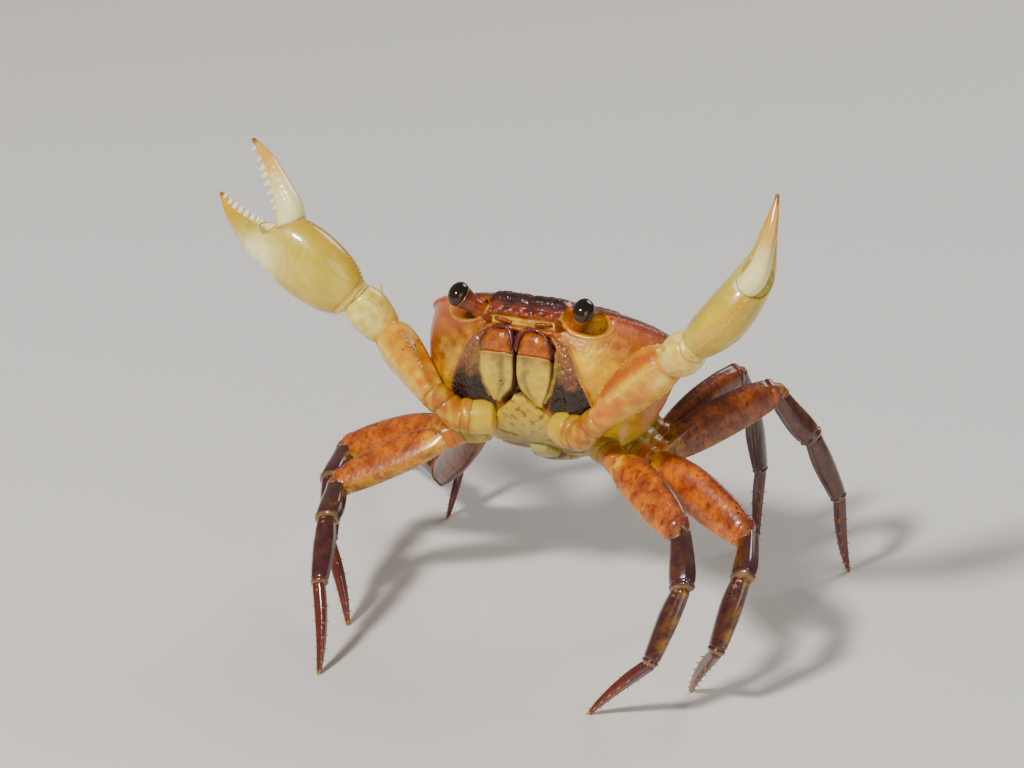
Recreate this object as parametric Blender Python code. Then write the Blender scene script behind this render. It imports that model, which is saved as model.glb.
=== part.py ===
"""Freshwater crab, Fredius beccarii, as a still life-size model in its raised-claw stance.

The body is drawn in its own frame: x to the crab's left, y to the rear, z to the back of the shell.
It is then pitched nose-up and rolled over the floor, and the claws and legs run from it in floor
coordinates. Lengths are in millimetres and become metres where a mesh is made.
"""

import math

import bmesh
import bpy
import numpy as np
from mathutils import Matrix, Vector

MM = 0.001
GAP = 0.3  # clear space between neighbouring pieces

# Stance of the body over the floor
BODY_HEIGHT = 48.0
PITCH = math.radians(40.4)
ROLL = math.radians(4.6)

# Shell of the body
HALF_WIDTH = 23.5
FRONT_Y = -15.3
REAR_Y = 16.0
WIDEST_Y = -2.0
CROWN_Y = 2.0
DOME = 4.2
DEPTH = 18.7
FRONS_HALF_WIDTH = 7.4

# Eyes
EYE_CENTRE = (12.1, -17.8, -0.6)
EYE_ROOT = (8.6, -12.6, -1.8)
CORNEA_RADII = (1.85, 2.25, 1.7)  # across, up and along the stalk

# Limb roots in the body frame, given for the left side: where the coxa sits and where the
# merus begins
COXA = {1: (8.5, -5.5, -15.5), 2: (11.5, 0.6, -16.8), 3: (13.2, 6.4, -15.4),
        4: (13.0, 11.6, -12.2), 5: (10.8, 15.0, -7.8)}
MERUS_START = {1: (16.3, -9.4, -16.1), 2: (16.8, 0.1, -20.4), 3: (19.6, 6.0, -17.3),
               4: (17.8, 13.2, -13.4), 5: (14.4, 17.5, -9.0)}
CLAW_BEND = (11.8, -6.0, -19.2)  # the turn in the claw's base

# Walking legs: lengths of merus, carpus, propodus and dactyl
LEG_LENGTHS = {2: (21.5, 10.5, 13.0, 15.5), 3: (24.0, 11.0, 12.5, 15.0),
               4: (24.5, 11.5, 13.0, 15.5), 5: (21.4, 10.5, 12.5, 14.5)}
MERUS_HEIGHT = {2: 7.0, 3: 7.4, 4: 7.2, 5: 6.2}
# Heading and rise of the merus in degrees, the place of the foot on the floor, and the heading
# to which the rest of the leg bows
LEG_STANCE = {
    (2, "left"): (-30.0, -12.0, 28.3, -37.4, -12.0), (2, "right"): (-152.0, -27.0, -17.2, -49.7, -72.0),
    (3, "left"): (-15.0, -16.0, 38.2, -21.1, -50.0), (3, "right"): (-178.0, -21.0, -24.0, -31.5, -85.0),
    (4, "left"): (66.0, 14.0, 38.4, 34.8, 20.0), (4, "right"): (150.0, -42.0, -61.0, 33.0, 150.0),
    (5, "left"): (81.0, 14.0, 18.8, 36.5, 81.0), (5, "right"): (119.0, 10.0, -34.8, 15.5, 140.0),
}

# Claws: the elbow, the wrist and a point ahead on the palm's axis, over the floor, then the way
# that the movable finger's side faces
CLAW_JOINTS = {
    "left": ((30.7, -16.7, 55.9), (36.3, -18.7, 60.4), (50.9, -9.1, 83.6), (0.438, -0.894, 0.096)),
    "right": ((-29.4, -9.7, 45.3), (-34.6, -13.5, 53.6), (-61.5, -17.5, 71.0), (0.4, 0.1, 0.9)),
}
CLOSING = {"left": math.radians(17.0), "right": 0.0}  # how far the movable finger is shut
CLAW_SIZE = {"left": 0.89, "right": 1.0}  # the right claw is a little larger
TEETH_PER_FINGER = 8
SEAM_LOW = np.array((17.8, 0.0, 0.4))  # ends of the movable finger's joint in the palm's frame
SEAM_HIGH = np.array((14.5, 0.0, 5.8))


def mirrored(point, side):
    """The left side's point, or its mirror image for the right side."""
    x, y, z = point
    return Vector((x if side == "left" else -x, y, z))


def smooth_rows(rows, count):
    """Rows of a profile sampled evenly from first to last along a Catmull-Rom curve."""
    rows = np.asarray(rows, float)
    spots = np.linspace(0.0, len(rows) - 1.0, count)
    start = np.clip(spots.astype(int), 0, len(rows) - 2)
    part = (spots - start)[:, None]
    before = rows[np.clip(start - 1, 0, None)]
    here = rows[start]
    there = rows[start + 1]
    after = rows[np.clip(start + 2, None, len(rows) - 1)]
    linear = (there - before) * part
    square = (2 * before - 5 * here + 4 * there - after) * part**2
    cube = (3 * here - before - 3 * there + after) * part**3
    return here + 0.5 * (linear + square + cube)


def loft(rows, sides, power=2.3, start_cap=1.0, end_cap=1.0, grow=0.0):
    """A closed tube along rows of x, y, z, height and width, with rounded ends.

    Each ring is a superellipse square to the tube's own direction. grow thickens it all round.
    """
    rows = np.array(rows, float)
    rows[:, 3:] += 2 * grow
    tangents = np.gradient(rows[:, :3], axis=0)
    tangents /= np.linalg.norm(tangents, axis=1)[:, None]
    across = np.cross((0.0, 0.0, 1.0), tangents)
    across /= np.linalg.norm(across, axis=1)[:, None]
    upward = np.cross(tangents, across)
    turn = np.linspace(0.0, 2 * math.pi, sides, endpoint=False) + math.pi / sides
    wide = np.sign(np.cos(turn)) * np.abs(np.cos(turn)) ** (2 / power)
    high = np.sign(np.sin(turn)) * np.abs(np.sin(turn)) ** (2 / power)

    def ring(index, size=1.0, slide=0.0):
        row = rows[index]
        flat = across[index] * row[4] * wide[:, None] + upward[index] * row[3] * high[:, None]
        return row[:3] + tangents[index] * slide + flat * size / 2

    first, last = start_cap + grow, end_cap + grow
    rings = [ring(0, 0.55, -0.84 * first), ring(0, 0.87, -0.5 * first)]
    rings += [ring(index) for index in range(len(rows))]
    rings += [ring(-1, 0.87, 0.5 * last), ring(-1, 0.55, 0.84 * last)]
    start = rows[0, :3] - tangents[0] * first
    end = rows[-1, :3] + tangents[-1] * last
    verts = np.concatenate([[start], *rings, [end]])
    faces = []
    for side in range(sides):
        following = (side + 1) % sides
        faces.append((0, 1 + following, 1 + side))
        for level in range(len(rings) - 1):
            low = 1 + level * sides
            faces.append((low + side, low + following, low + sides + following, low + sides + side))
        top = 1 + (len(rings) - 1) * sides
        faces.append((top + side, top + following, len(verts) - 1))
    return verts, faces


def sheet(outer, inner):
    """A closed plate between two grids of points that share their layout."""
    rows, columns = outer.shape[:2]
    verts = np.concatenate([outer.reshape(-1, 3), inner.reshape(-1, 3)])
    below = rows * columns
    faces = []
    for row in range(rows - 1):
        for column in range(columns - 1):
            a = row * columns + column
            quad = (a, a + 1, a + columns + 1, a + columns)
            faces.append(quad)
            faces.append(tuple(below + corner for corner in reversed(quad)))
    rim = [column for column in range(columns)]
    rim += [row * columns + columns - 1 for row in range(1, rows)]
    rim += [(rows - 1) * columns + column for column in range(columns - 2, -1, -1)]
    rim += [row * columns for row in range(rows - 2, 0, -1)]
    for here, there in zip(rim, rim[1:] + rim[:1]):
        faces.append((there, here, below + here, below + there))
    return verts, faces


def cone(root, tip, radius, sides=5):
    """A pointed cone from its root to its tip."""
    root, tip = np.array(root, float), np.array(tip, float)
    axis = (tip - root) / np.linalg.norm(tip - root)
    helper = (0.0, 0.0, 1.0) if abs(axis[2]) < 0.9 else (1.0, 0.0, 0.0)
    across = np.cross(axis, helper)
    across /= np.linalg.norm(across)
    upward = np.cross(axis, across)
    turn = np.linspace(0.0, 2 * math.pi, sides, endpoint=False)[:, None]
    ring = root + radius * (np.cos(turn) * across + np.sin(turn) * upward)
    faces = [(side, (side + 1) % sides, sides) for side in range(sides)]
    faces.append(tuple(range(sides - 1, -1, -1)))
    return np.concatenate([ring, [tip]]), faces


def ball(centre, radii, sides=14, levels=7):
    """A closed ellipsoid with its poles on the z axis."""
    tilt = np.linspace(-math.pi / 2, math.pi / 2, levels + 2)[1:-1]
    turn = np.linspace(0.0, 2 * math.pi, sides, endpoint=False)
    level, around = np.meshgrid(tilt, turn, indexing="ij")
    points = np.stack([np.cos(level) * np.cos(around), np.cos(level) * np.sin(around), np.sin(level)], -1)
    verts = np.concatenate([[(0.0, 0.0, -1.0)], points.reshape(-1, 3), [(0.0, 0.0, 1.0)]])
    faces = []
    for side in range(sides):
        following = (side + 1) % sides
        faces.append((0, 1 + following, 1 + side))
        for step in range(levels - 1):
            low = 1 + step * sides
            faces.append((low + side, low + following, low + sides + following, low + sides + side))
        top = 1 + (levels - 1) * sides
        faces.append((top + side, top + following, len(verts) - 1))
    return verts * np.array(radii) + np.array(centre), faces


def moved(shape, matrix):
    """The shape carried over by a matrix whose lengths are in millimetres."""
    verts, faces = shape
    matrix = np.array(matrix)
    return verts @ matrix[:3, :3].T + matrix[:3, 3], faces


def mesh_of(shape):
    """A Blender mesh of the shape, in metres, with its faces turned outwards."""
    verts, faces = shape
    mesh = bpy.data.meshes.new("shape")
    mesh.from_pydata([tuple(point) for point in np.asarray(verts) * MM], [], faces)
    edit = bmesh.new()
    edit.from_mesh(mesh)
    bmesh.ops.recalc_face_normals(edit, faces=edit.faces)
    edit.to_mesh(mesh)
    edit.free()
    return mesh


def cut_by_plane(shape, point, outward):
    """The shape without what lies past the plane, closed again by a flat face."""
    edit = bmesh.new()
    edit.from_mesh(mesh_of(shape))
    everything = edit.verts[:] + edit.edges[:] + edit.faces[:]
    cut = bmesh.ops.bisect_plane(edit, geom=everything, plane_co=Vector(point) * MM,
                                 plane_no=Vector(outward), clear_outer=True)
    edges = [piece for piece in cut["geom_cut"] if isinstance(piece, bmesh.types.BMEdge)]
    bmesh.ops.edgeloop_fill(edit, edges=edges)
    verts = np.array([vert.co[:] for vert in edit.verts]) / MM
    edit.verts.index_update()
    faces = [tuple(vert.index for vert in face.verts) for face in edit.faces]
    edit.free()
    return verts, faces


def keep_largest(mesh):
    """Drops every loose scrap and sealed hollow from the mesh."""
    edit = bmesh.new()
    edit.from_mesh(mesh)
    left = set(edit.faces)
    islands = []
    while left:
        island, edge_of_search = set(), [left.pop()]
        while edge_of_search:
            face = edge_of_search.pop()
            island.add(face)
            for edge in face.edges:
                for other in edge.link_faces:
                    if other in left:
                        left.discard(other)
                        edge_of_search.append(other)
        islands.append(island)
    islands.sort(key=lambda island: sum(face.calc_area() for face in island))
    scraps = [face for island in islands[:-1] for face in island]
    bmesh.ops.delete(edit, geom=scraps, context="FACES")
    edit.to_mesh(mesh)
    edit.free()


def combined(shape, pieces, operation):
    """The shape joined with all the pieces, or with them cut away, as one closed surface."""
    helpers = bpy.data.collections.new("helpers")
    bpy.context.scene.collection.children.link(helpers)
    for piece in pieces:
        helper = bpy.data.objects.new("helper", mesh_of(piece))
        helper.hide_render = True
        helper.display_type = "WIRE"
        helpers.objects.link(helper)
    whole = bpy.data.objects.new("whole", mesh_of(shape))
    bpy.context.scene.collection.objects.link(whole)
    boolean = whole.modifiers.new("combine", "BOOLEAN")
    boolean.operation = operation
    boolean.operand_type = "COLLECTION"
    boolean.collection = helpers
    bpy.context.view_layer.update()
    graph = bpy.context.evaluated_depsgraph_get()
    mesh = bpy.data.meshes.new_from_object(whole.evaluated_get(graph))
    keep_largest(mesh)
    verts = np.array([vert.co[:] for vert in mesh.vertices]) / MM
    faces = [tuple(polygon.vertices) for polygon in mesh.polygons]
    for temporary in [whole, *helpers.objects]:
        bpy.data.objects.remove(temporary)
    bpy.data.collections.remove(helpers)
    return verts, faces


def joined(shape, pieces):
    """The shape and the pieces fused."""
    return combined(shape, pieces, "UNION")


def carved(shape, pieces):
    """The shape with the pieces cut away."""
    return combined(shape, pieces, "DIFFERENCE")


def material(name, colour, roughness):
    """A Principled material of one colour."""
    made = bpy.data.materials.get(name) or bpy.data.materials.new(name)
    made.use_nodes = True
    surface = made.node_tree.nodes["Principled BSDF"]
    surface.inputs["Base Color"].default_value = (*colour, 1.0)
    surface.inputs["Roughness"].default_value = roughness
    surface.inputs["Metallic"].default_value = 0.0
    made.diffuse_color = (*colour, 1.0)
    return made


def add_node(name, shape, look, parent, matrix=Matrix.Identity(4)):
    """One named sub-part, hung from its parent at the given place."""
    mesh = mesh_of(shape)
    mesh.name = name
    mesh.shade_smooth()
    mesh.set_sharp_from_angle(angle=math.radians(40))
    mesh.materials.append(look)
    node = bpy.data.objects.new(name, mesh)
    bpy.context.scene.collection.objects.link(node)
    node.parent = parent
    place = matrix.copy()
    place.translation *= MM
    node.matrix_local = place
    return node


# The body's shell


def shell_measures(x):
    """Front, rear and crown places along y, and the heights above and below, at a distance x."""
    part = np.clip(np.abs(x) / HALF_WIDTH, 0.0, 1.0)
    front = WIDEST_Y + (FRONT_Y - WIDEST_Y) * (1 - part**2.8) ** 0.5
    rear = WIDEST_Y + (REAR_Y - WIDEST_Y) * (1 - part**2.2) ** 0.74
    crown = WIDEST_Y + (CROWN_Y - WIDEST_Y) * (1 - part**2)
    above = DOME * (1 - part**2.6) ** 0.55
    below = DEPTH * (1 - part**4) ** 0.556
    return front, rear, crown, above, below


def rim_height(y):
    """Height of the shell's rim, which sinks towards the rear."""
    return 0.3 - 3.3 * np.clip((y - WIDEST_Y) / (REAR_Y - WIDEST_Y), 0.0, 1.0) ** 2


def shell(x, angle):
    """Points of the smooth shell. The angle starts at the rear and goes over the top to the front."""
    front, rear, crown, above, below = shell_measures(x)
    along, lift = np.cos(angle), np.sin(angle)
    reach = np.where(along > 0, rear - crown, crown - front)
    height = np.where(lift > 0, above, below)
    power = np.where(lift > 0, 1.8, 2.2)
    y = crown + reach * np.sign(along) * np.abs(along) ** (2 / power)
    z = rim_height(y) + height * np.sign(lift) * np.abs(lift) ** (2 / power)
    return np.stack([x + 0 * y, y, z], -1)


def raised_shell(x, angle, lift):
    """Points a given height off the smooth shell, along its own outward direction."""
    step = 1e-3
    along_x = shell(x + step, angle) - shell(x - step, angle)
    along_angle = shell(x, angle + step) - shell(x, angle - step)
    outward = np.cross(along_angle, along_x)
    outward /= np.linalg.norm(outward, axis=-1)[..., None]
    return shell(x, angle) + outward * np.asarray(lift)[..., None]


def face_relief(x, z):
    """How far the front of the shell stands out: frons, fossae of the antennules and epistome."""
    heights = (-5.2, -4.7, -3.9, -3.6, -2.6, -2.2, 1.4, 3.0)
    pushes = (0.0, 0.5, 0.5, -0.3, -0.4, 0.8, 0.7, 0.0)
    width = np.clip((FRONS_HALF_WIDTH + 0.6 - np.abs(x)) / 1.2, 0.0, 1.0)
    notch = 0.4 * np.exp(-((x / 1.2) ** 2)) * (z > -2.4) * (z < 2.5)
    return width * (np.interp(z, heights, pushes) - notch)


def carapace_shape():
    """The shell with its front, closed under the body."""
    edge = np.linspace(-math.pi / 2, math.pi / 2, 33)[1:-1]
    stations = HALF_WIDTH * (0.35 * np.sin(edge) + 0.65 * edge / (math.pi / 2))
    top = np.linspace(0.0, 146.0, 10)
    face = np.linspace(156.0, 200.0, 13)
    under = np.linspace(210.0, 345.0, 11)
    angles = np.radians(np.concatenate([top, face, under]))
    x, angle = np.meshgrid(stations, angles, indexing="ij")
    points = shell(x, angle)
    is_face = (angle > math.pi / 2) & (angle < 3 * math.pi / 2)
    points[..., 1] -= np.where(is_face, face_relief(points[..., 0], points[..., 2]), 0.0)
    sides = len(angles)
    ends = [(-HALF_WIDTH, WIDEST_Y, 0.3), (HALF_WIDTH, WIDEST_Y, 0.3)]
    verts = np.concatenate([[ends[0]], points.reshape(-1, 3), [ends[1]]])
    faces = []
    for side in range(sides):
        following = (side + 1) % sides
        faces.append((0, 1 + following, 1 + side))
        for level in range(len(stations) - 1):
            low = 1 + level * sides
            faces.append((low + side, low + following, low + sides + following, low + sides + side))
        last = 1 + (len(stations) - 1) * sides
        faces.append((last + side, last + following, len(verts) - 1))
    return verts, faces


def under_plate(widths, first_angle, last_angle, inner, outer, grow, columns):
    """A plate on the underside, with half-widths given from its front end to its rear end."""
    rows = 11
    halves = smooth_rows(np.array(widths)[:, None], rows)[:, 0] + grow
    turn = np.radians(np.linspace(first_angle - 2 * grow, last_angle + 2 * grow, rows))
    across = np.linspace(-1.0, 1.0, columns)
    x = halves[:, None] * across[None, :]
    angle = turn[:, None] + 0 * x
    edge = np.clip(1 - np.abs(across), 0.0, 1.0)[None, :] + 0 * x
    rounding = np.minimum(1.0, (edge / 0.25)) ** 0.5
    above = inner + (outer - inner) * (0.45 + 0.55 * rounding)
    if grow:
        above = outer + 2.0 + 0 * x
    return sheet(raised_shell(x, angle, above), raised_shell(x, angle, inner - grow + 0 * x))


def sternum_shape(grow=0.0):
    """The breastplate between the limbs."""
    return under_plate((1.0, 5.2, 8.2, 9.6, 10.0, 9.4, 8.0), 230.0, 322.0, -2.2, 0.0, grow, 9)


def abdomen_shape():
    """The abdomen, narrow at its tip and folded forwards under the breastplate."""
    return under_plate((1.6, 2.9, 3.4, 4.6, 6.4, 8.2, 8.8), 268.0, 350.0, 0.45, 1.5, 0.0, 7)


def front_y(x, z):
    """Place of the shell's face at a distance x and a height z below the rim."""
    front, _, crown, _, below = shell_measures(x)
    drop = np.clip((rim_height(FRONT_Y) - z) / below, 0.0, 0.999)
    return crown - (crown - front) * (1 - drop**2.2) ** (1 / 2.2)


def maxilliped_shape(side, grow=0.0):
    """One outer mouth plate: a long ischium, a short merus above it and the bent palp."""
    levels = np.linspace(0.0, 1.0, 11)
    outer_edge = smooth_rows([[4.6], [6.5], [6.8], [6.9], [6.7], [6.0], [4.8]], 11)[:, 0] + grow
    inner_edge = smooth_rows([[1.4], [0.3], [0.3], [0.3], [0.35], [1.0], [3.4]], 11)[:, 0] - grow * 1.2
    across = np.linspace(0.0, 1.0, 6)
    x = inner_edge[:, None] + (outer_edge - inner_edge)[:, None] * across[None, :]
    z = (-4.9 + grow - (10.4 + 2 * grow) * levels)[:, None] + 0 * x
    edge = np.minimum(np.minimum(across, 1 - across)[None, :] / 0.3, np.minimum(levels, 1 - levels)[:, None] / 0.12)
    rounding = np.clip(edge, 0.0, 1.0) ** 0.5
    thick = np.interp(levels, (0.0, 0.4, 1.0), (1.9, 1.8, 0.9))[:, None]
    seam = 0.35 * np.exp(-(((levels - 0.37) / 0.03) ** 2))[:, None]
    face = front_y(x, z)
    out = face - grow * 4 - (thick - seam) * (0.4 + 0.6 * rounding)
    back = face + 0.6 + grow
    sign = 1.0 if side == "left" else -1.0
    plate = sheet(np.stack([sign * x, out, z], -1), np.stack([sign * x, back + 0 * x, z], -1))
    if grow:
        return plate
    palp = [(5.6, -16.4, -6.6, 1.3, 1.1), (4.6, -16.9, -5.2, 1.4, 1.2), (2.6, -17.1, -4.9, 1.4, 1.2),
            (1.0, -17.0, -6.2, 1.4, 1.1), (0.9, -16.2, -8.4, 0.9, 0.8)]
    return joined(plate, [loft([(sign * x, *rest) for x, *rest in smooth_rows(palp, 7)], 6, 2.0, 0.4, 0.3)])


# The eyes


def eye_frame(side):
    """Axis of the eye: z runs from the root of the stalk to the cornea's middle, the origin."""
    centre, root = mirrored(EYE_CENTRE, side), mirrored(EYE_ROOT, side)
    turn = (centre - root).to_track_quat("Z", "Y").to_matrix().to_4x4()
    return Matrix.Translation(centre) @ turn, (centre - root).length


def upright(rows, *rest, **more):
    """A loft along z: rows hold z, height and width."""
    lying = loft([(z, 0.0, 0.0, high, wide) for z, high, wide in rows], *rest, **more)
    return moved(lying, Matrix.Rotation(-math.pi / 2, 4, "Y"))


def eyestalk_shape(length, grow=0.0):
    """The stalk: a thick root, a waist and the swelling that carries the cornea."""
    rows = [(-length, 3.0, 3.0), (-0.66 * length, 2.7, 2.8), (-0.42 * length, 2.8, 3.0), (-0.9, 3.3, 4.0)]
    stalk = upright(smooth_rows(rows, 6), 10, 2.0, start_cap=0.5, end_cap=0.8, grow=grow)
    if grow:
        return stalk
    return cut_by_plane(stalk, (0, 0, -0.9), (0, 0, 1))


def cornea_shape():
    """The dark dome of the eye."""
    dome = ball((0, 0, 0), CORNEA_RADII)
    return cut_by_plane(dome, (0, 0, GAP - 0.9), (0, 0, -1))


# The limbs


def limb_frame(start, end, up):
    """Frame of a segment: x from its start to its end, z on the side that up points to."""
    along = (end - start).normalized()
    across = up.cross(along).normalized()
    turn = Matrix((along, across, along.cross(across))).transposed().to_4x4()
    return Matrix.Translation(start) @ turn


def merus_rows(length, height):
    """A flat thigh with an arched upper edge."""
    stations = [(0.0, 0.55, 3.3), (0.2, 0.86, 3.8), (0.45, 1.0, 4.0), (0.75, 0.9, 4.0), (0.97, 0.64, 3.9)]
    rows = [(length * at, 0.0, 0.06 * height * math.sin(math.pi * at), height * high, wide)
            for at, high, wide in stations]
    return smooth_rows(rows, 7)


def carpus_rows(length):
    """A short segment that widens to its far end."""
    rows = [(0.0, 0, 0, 3.3, 3.1), (0.3 * length, 0, 0.2, 3.8, 3.4), (0.7 * length, 0, 0.2, 4.5, 3.7),
            (0.97 * length, 0, 0, 4.0, 3.3)]
    return smooth_rows(rows, 4)


def propodus_rows(length):
    """A slender shin."""
    rows = [(0.0, 0, 0, 3.1, 2.6), (0.35 * length, 0, 0.1, 3.8, 2.9), (0.75 * length, 0, 0, 3.3, 2.6),
            (0.98 * length, 0, 0, 2.7, 2.3)]
    return smooth_rows(rows, 4)


def dactyl_rows(length):
    """The pointed last segment, a little bowed."""
    rows = [(0.0, 0, 0, 2.3, 2.0), (0.3 * length, 0, 0.35, 2.3, 1.9), (0.6 * length, 0, 0.4, 1.8, 1.6),
            (0.85 * length, 0, 0.15, 1.2, 1.1), (length, 0, -0.15, 0.8, 0.75)]
    return smooth_rows(rows, 6)


def base_rows(length):
    """Coxa and basis of a walking leg: a stout knob and a narrower collar."""
    rows = [(0.0, 0, 0, 5.4, 5.2), (0.35 * length, 0, 0, 5.8, 5.4), (0.62 * length, 0, 0, 4.6, 4.4),
            (length, 0, 0, 4.9, 4.2)]
    return smooth_rows(rows, 4)


def bent_chain(start, end, lengths, outward):
    """Joints of a chain of segments from start to end, bowed evenly to the outward side."""
    chord = (end - start).length
    span = sum(lengths)
    if chord > 0.998 * span:
        raise ValueError(f"a foot is {chord:.1f} mm from its knee and the leg has {span:.1f} mm")

    def headings(bend):
        middle = (len(lengths) - 1) / 2
        return [bend * (middle - number) for number in range(len(lengths))]

    def flat_end(bend):
        x = sum(length * math.cos(turn) for length, turn in zip(lengths, headings(bend)))
        y = sum(length * math.sin(turn) for length, turn in zip(lengths, headings(bend)))
        return x, y

    low, high = 0.0, math.pi / 2
    for _ in range(60):
        bend = (low + high) / 2
        if math.hypot(*flat_end(bend)) > chord:
            low = bend
        else:
            high = bend
    x, y = flat_end(bend)
    lean = math.atan2(y, x)
    along = (end - start).normalized()
    side = (outward - along * outward.dot(along)).normalized()
    joints = [start]
    for length, turn in zip(lengths, headings(bend)):
        step = along * math.cos(turn - lean) + side * math.sin(turn - lean)
        joints.append(joints[-1] + step * length)
    return joints


def spinules(length):
    """Small spines in rows along a walking leg's last segment."""
    found = []
    for place in (0.3, 0.52, 0.74):
        thick = 1.1 - 0.6 * place
        for turn in (1.0, 2.2):
            outward = np.array((0.0, math.cos(turn), math.sin(turn)))
            lift = 0.4 * math.sin(math.pi * place)
            root = np.array((length * place, 0.0, lift)) + outward * (thick - 0.55)
            found.append(cone(root, root + outward * 1.15 + np.array((0.75, 0, 0)), 0.34, 4))
    return found


def body_to_floor():
    """Placement of the body's frame over the floor."""
    turn = Matrix.Rotation(-PITCH, 4, "X") @ Matrix.Rotation(-ROLL, 4, "Y")
    return Matrix.Translation((0.0, 0.0, BODY_HEIGHT)) @ turn


def leg_joints(number, side):
    """Joints of a walking leg over the floor, from the merus to the tip, and the leg's up side."""
    heading, rise, foot_x, foot_y, bow = LEG_STANCE[number, side]
    merus, *rest = LEG_LENGTHS[number]
    start = body_to_floor() @ mirrored(MERUS_START[number], side)
    heading, rise = math.radians(heading), math.radians(rise)
    along = Vector((math.cos(heading) * math.cos(rise), math.sin(heading) * math.cos(rise), math.sin(rise)))
    knee = start + along * merus
    foot = Vector((foot_x, foot_y, 0.0))
    bow = math.radians(bow)
    return [start, *bent_chain(knee, foot, rest, Vector((math.cos(bow), math.sin(bow), 0.5)))]


def build_leg(number, side, root, body, looks):
    """The five nodes of one walking leg. Each is cut clear of the one before it."""
    place = body_to_floor()
    joints = leg_joints(number, side)
    tag = f"leg{number}"
    coxa = place @ mirrored(COXA[number], side)
    base_frame = limb_frame(coxa, joints[0], Vector((0, 0, 1)))
    rows = base_rows((joints[0] - coxa).length)
    base = loft(rows, 10, 2.3, 0.4, 0.8)
    socket = moved(loft(rows, 10, 2.3, 0.4, 0.8, GAP), place.inverted() @ base_frame)
    shape = moved(base, place.inverted() @ base_frame)
    add_node(f"{tag}_base_{side}", shape, looks["pale"], body)
    before = moved(loft(rows, 10, 2.3, 0.4, 0.8, GAP), base_frame)
    segments = [("merus", merus_rows((joints[1] - joints[0]).length, MERUS_HEIGHT[number]), "orange"),
                ("carpus", carpus_rows((joints[2] - joints[1]).length), "purple"),
                ("propodus", propodus_rows((joints[3] - joints[2]).length), "purple"),
                ("dactyl", dactyl_rows((joints[4] - joints[3]).length), "purple")]
    for index, (name, rows, look) in enumerate(segments):
        start, end = joints[index], joints[index + 1]
        down = joints[-1] - joints[0]
        along = (end - start).normalized()
        plane = (joints[1] - joints[0]).cross(joints[-1] - joints[1])
        up = plane.cross(along)
        up = up if up.dot(down) < 0 else -up
        frame = limb_frame(start, end, up)
        sides = 10 if name == "merus" else 8
        cap = 0.9 if name == "merus" else 0.6
        shape = loft(rows, sides, 2.3, 0.8, cap)
        if name == "dactyl":
            shape = joined(shape, spinules((end - start).length))
            floor = frame.inverted()
            shape = cut_by_plane(shape, floor @ Vector((0, 0, 0)), floor.to_3x3() @ Vector((0, 0, -1)))
        shape = carved(shape, [moved(before, frame.inverted())])
        add_node(f"{tag}_{name}_{side}", shape, looks[look], root, frame)
        before = moved(loft(rows, sides, 2.3, 0.8, cap, GAP), frame)
    return socket


# The claws


def palm_rows():
    """The swollen palm, from the wrist to past the finger joint."""
    rows = [(0.0, 0, -1.3, 8.6, 6.4), (3.0, 0.4, -0.9, 11.0, 7.8), (8.0, 1.1, -0.4, 12.8, 9.0),
            (13.0, 0.9, -0.5, 12.3, 8.4), (18.0, 0, -2.2, 8.8, 6.4)]
    return smooth_rows(rows, 7)


def fixed_finger_rows():
    """The fixed finger, which carries on the palm's lower edge and hooks at its tip."""
    rows = [(12.5, 0, -3.6, 6.8, 5.2), (17.5, 0, -3.6, 6.2, 4.8), (20.5, -0.7, -4.2, 4.6, 3.9),
            (24.3, -2.2, -4.8, 3.2, 2.8), (27.5, -3.7, -4.9, 2.1, 1.9), (30.4, -5.2, -4.4, 1.1, 1.1)]
    return smooth_rows(rows, 8)


def movable_finger_rows(side):
    """The movable finger, drawn in the palm's frame, open over the fixed one."""
    rows = [(15.2, 0, 2.0, 5.4, 4.8), (17.4, 0, 4.9, 4.9, 4.5), (19.8, -0.6, 6.1, 4.2, 3.8),
            (23.2, -2.0, 7.2, 3.2, 2.9), (26.4, -3.4, 7.95, 2.3, 2.1), (30.8, -5.7, 7.8, 1.0, 1.0)]
    rows = smooth_rows(rows, 8)
    turn = Matrix.Rotation(CLOSING[side], 4, "Y")
    hinge = np.array(SEAM_LOW + SEAM_HIGH) / 2
    rows[:, :3] = (rows[:, :3] - hinge) @ np.array(turn.to_3x3()).T + hinge
    return rows


def finger_teeth(rows, downwards):
    """Pointed teeth along a finger's biting edge, largest in its middle."""
    spots = np.linspace(2.4, len(rows) - 1.6, TEETH_PER_FINGER)
    found = []
    for number, spot in enumerate(spots):
        row = np.array([np.interp(spot, range(len(rows)), rows[:, column]) for column in range(5)])
        ahead = np.array([np.interp(spot + 0.2, range(len(rows)), rows[:, column]) for column in range(5)])
        along = (ahead - row)[:3] / np.linalg.norm((ahead - row)[:3])
        bite = np.cross(along, (0.0, 1.0, 0.0)) * (-1 if downwards else 1)
        size = 0.75 + 0.5 * math.sin(math.pi * (number + 0.6) / TEETH_PER_FINGER)
        root = row[:3] + bite * (row[3] / 2 - 0.6)
        found.append(cone(root, root + bite * (0.6 + size), 0.62 * size, 5))
    return found


def swung(rows, side):
    """The rows with their sideways bend turned towards the crab's middle."""
    rows = np.array(rows)
    rows[:, 1] *= -1 if side == "left" else 1
    return rows


def seam_direction():
    """Outward direction of the palm's face at the movable finger's joint."""
    along = SEAM_HIGH - SEAM_LOW
    outward = np.array((along[2], 0.0, -along[0]))
    return outward / np.linalg.norm(outward)


def palm_shape(side):
    """Palm with the fixed finger and its teeth."""
    palm = loft(swung(palm_rows(), side), 14, 2.4, 1.0, 1.0)
    palm = cut_by_plane(palm, SEAM_LOW, seam_direction())
    rows = swung(fixed_finger_rows(), side)
    finger = loft(rows, 10, 2.2, 1.0, 0.6)
    return joined(palm, [finger, *finger_teeth(rows, False)])


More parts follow.
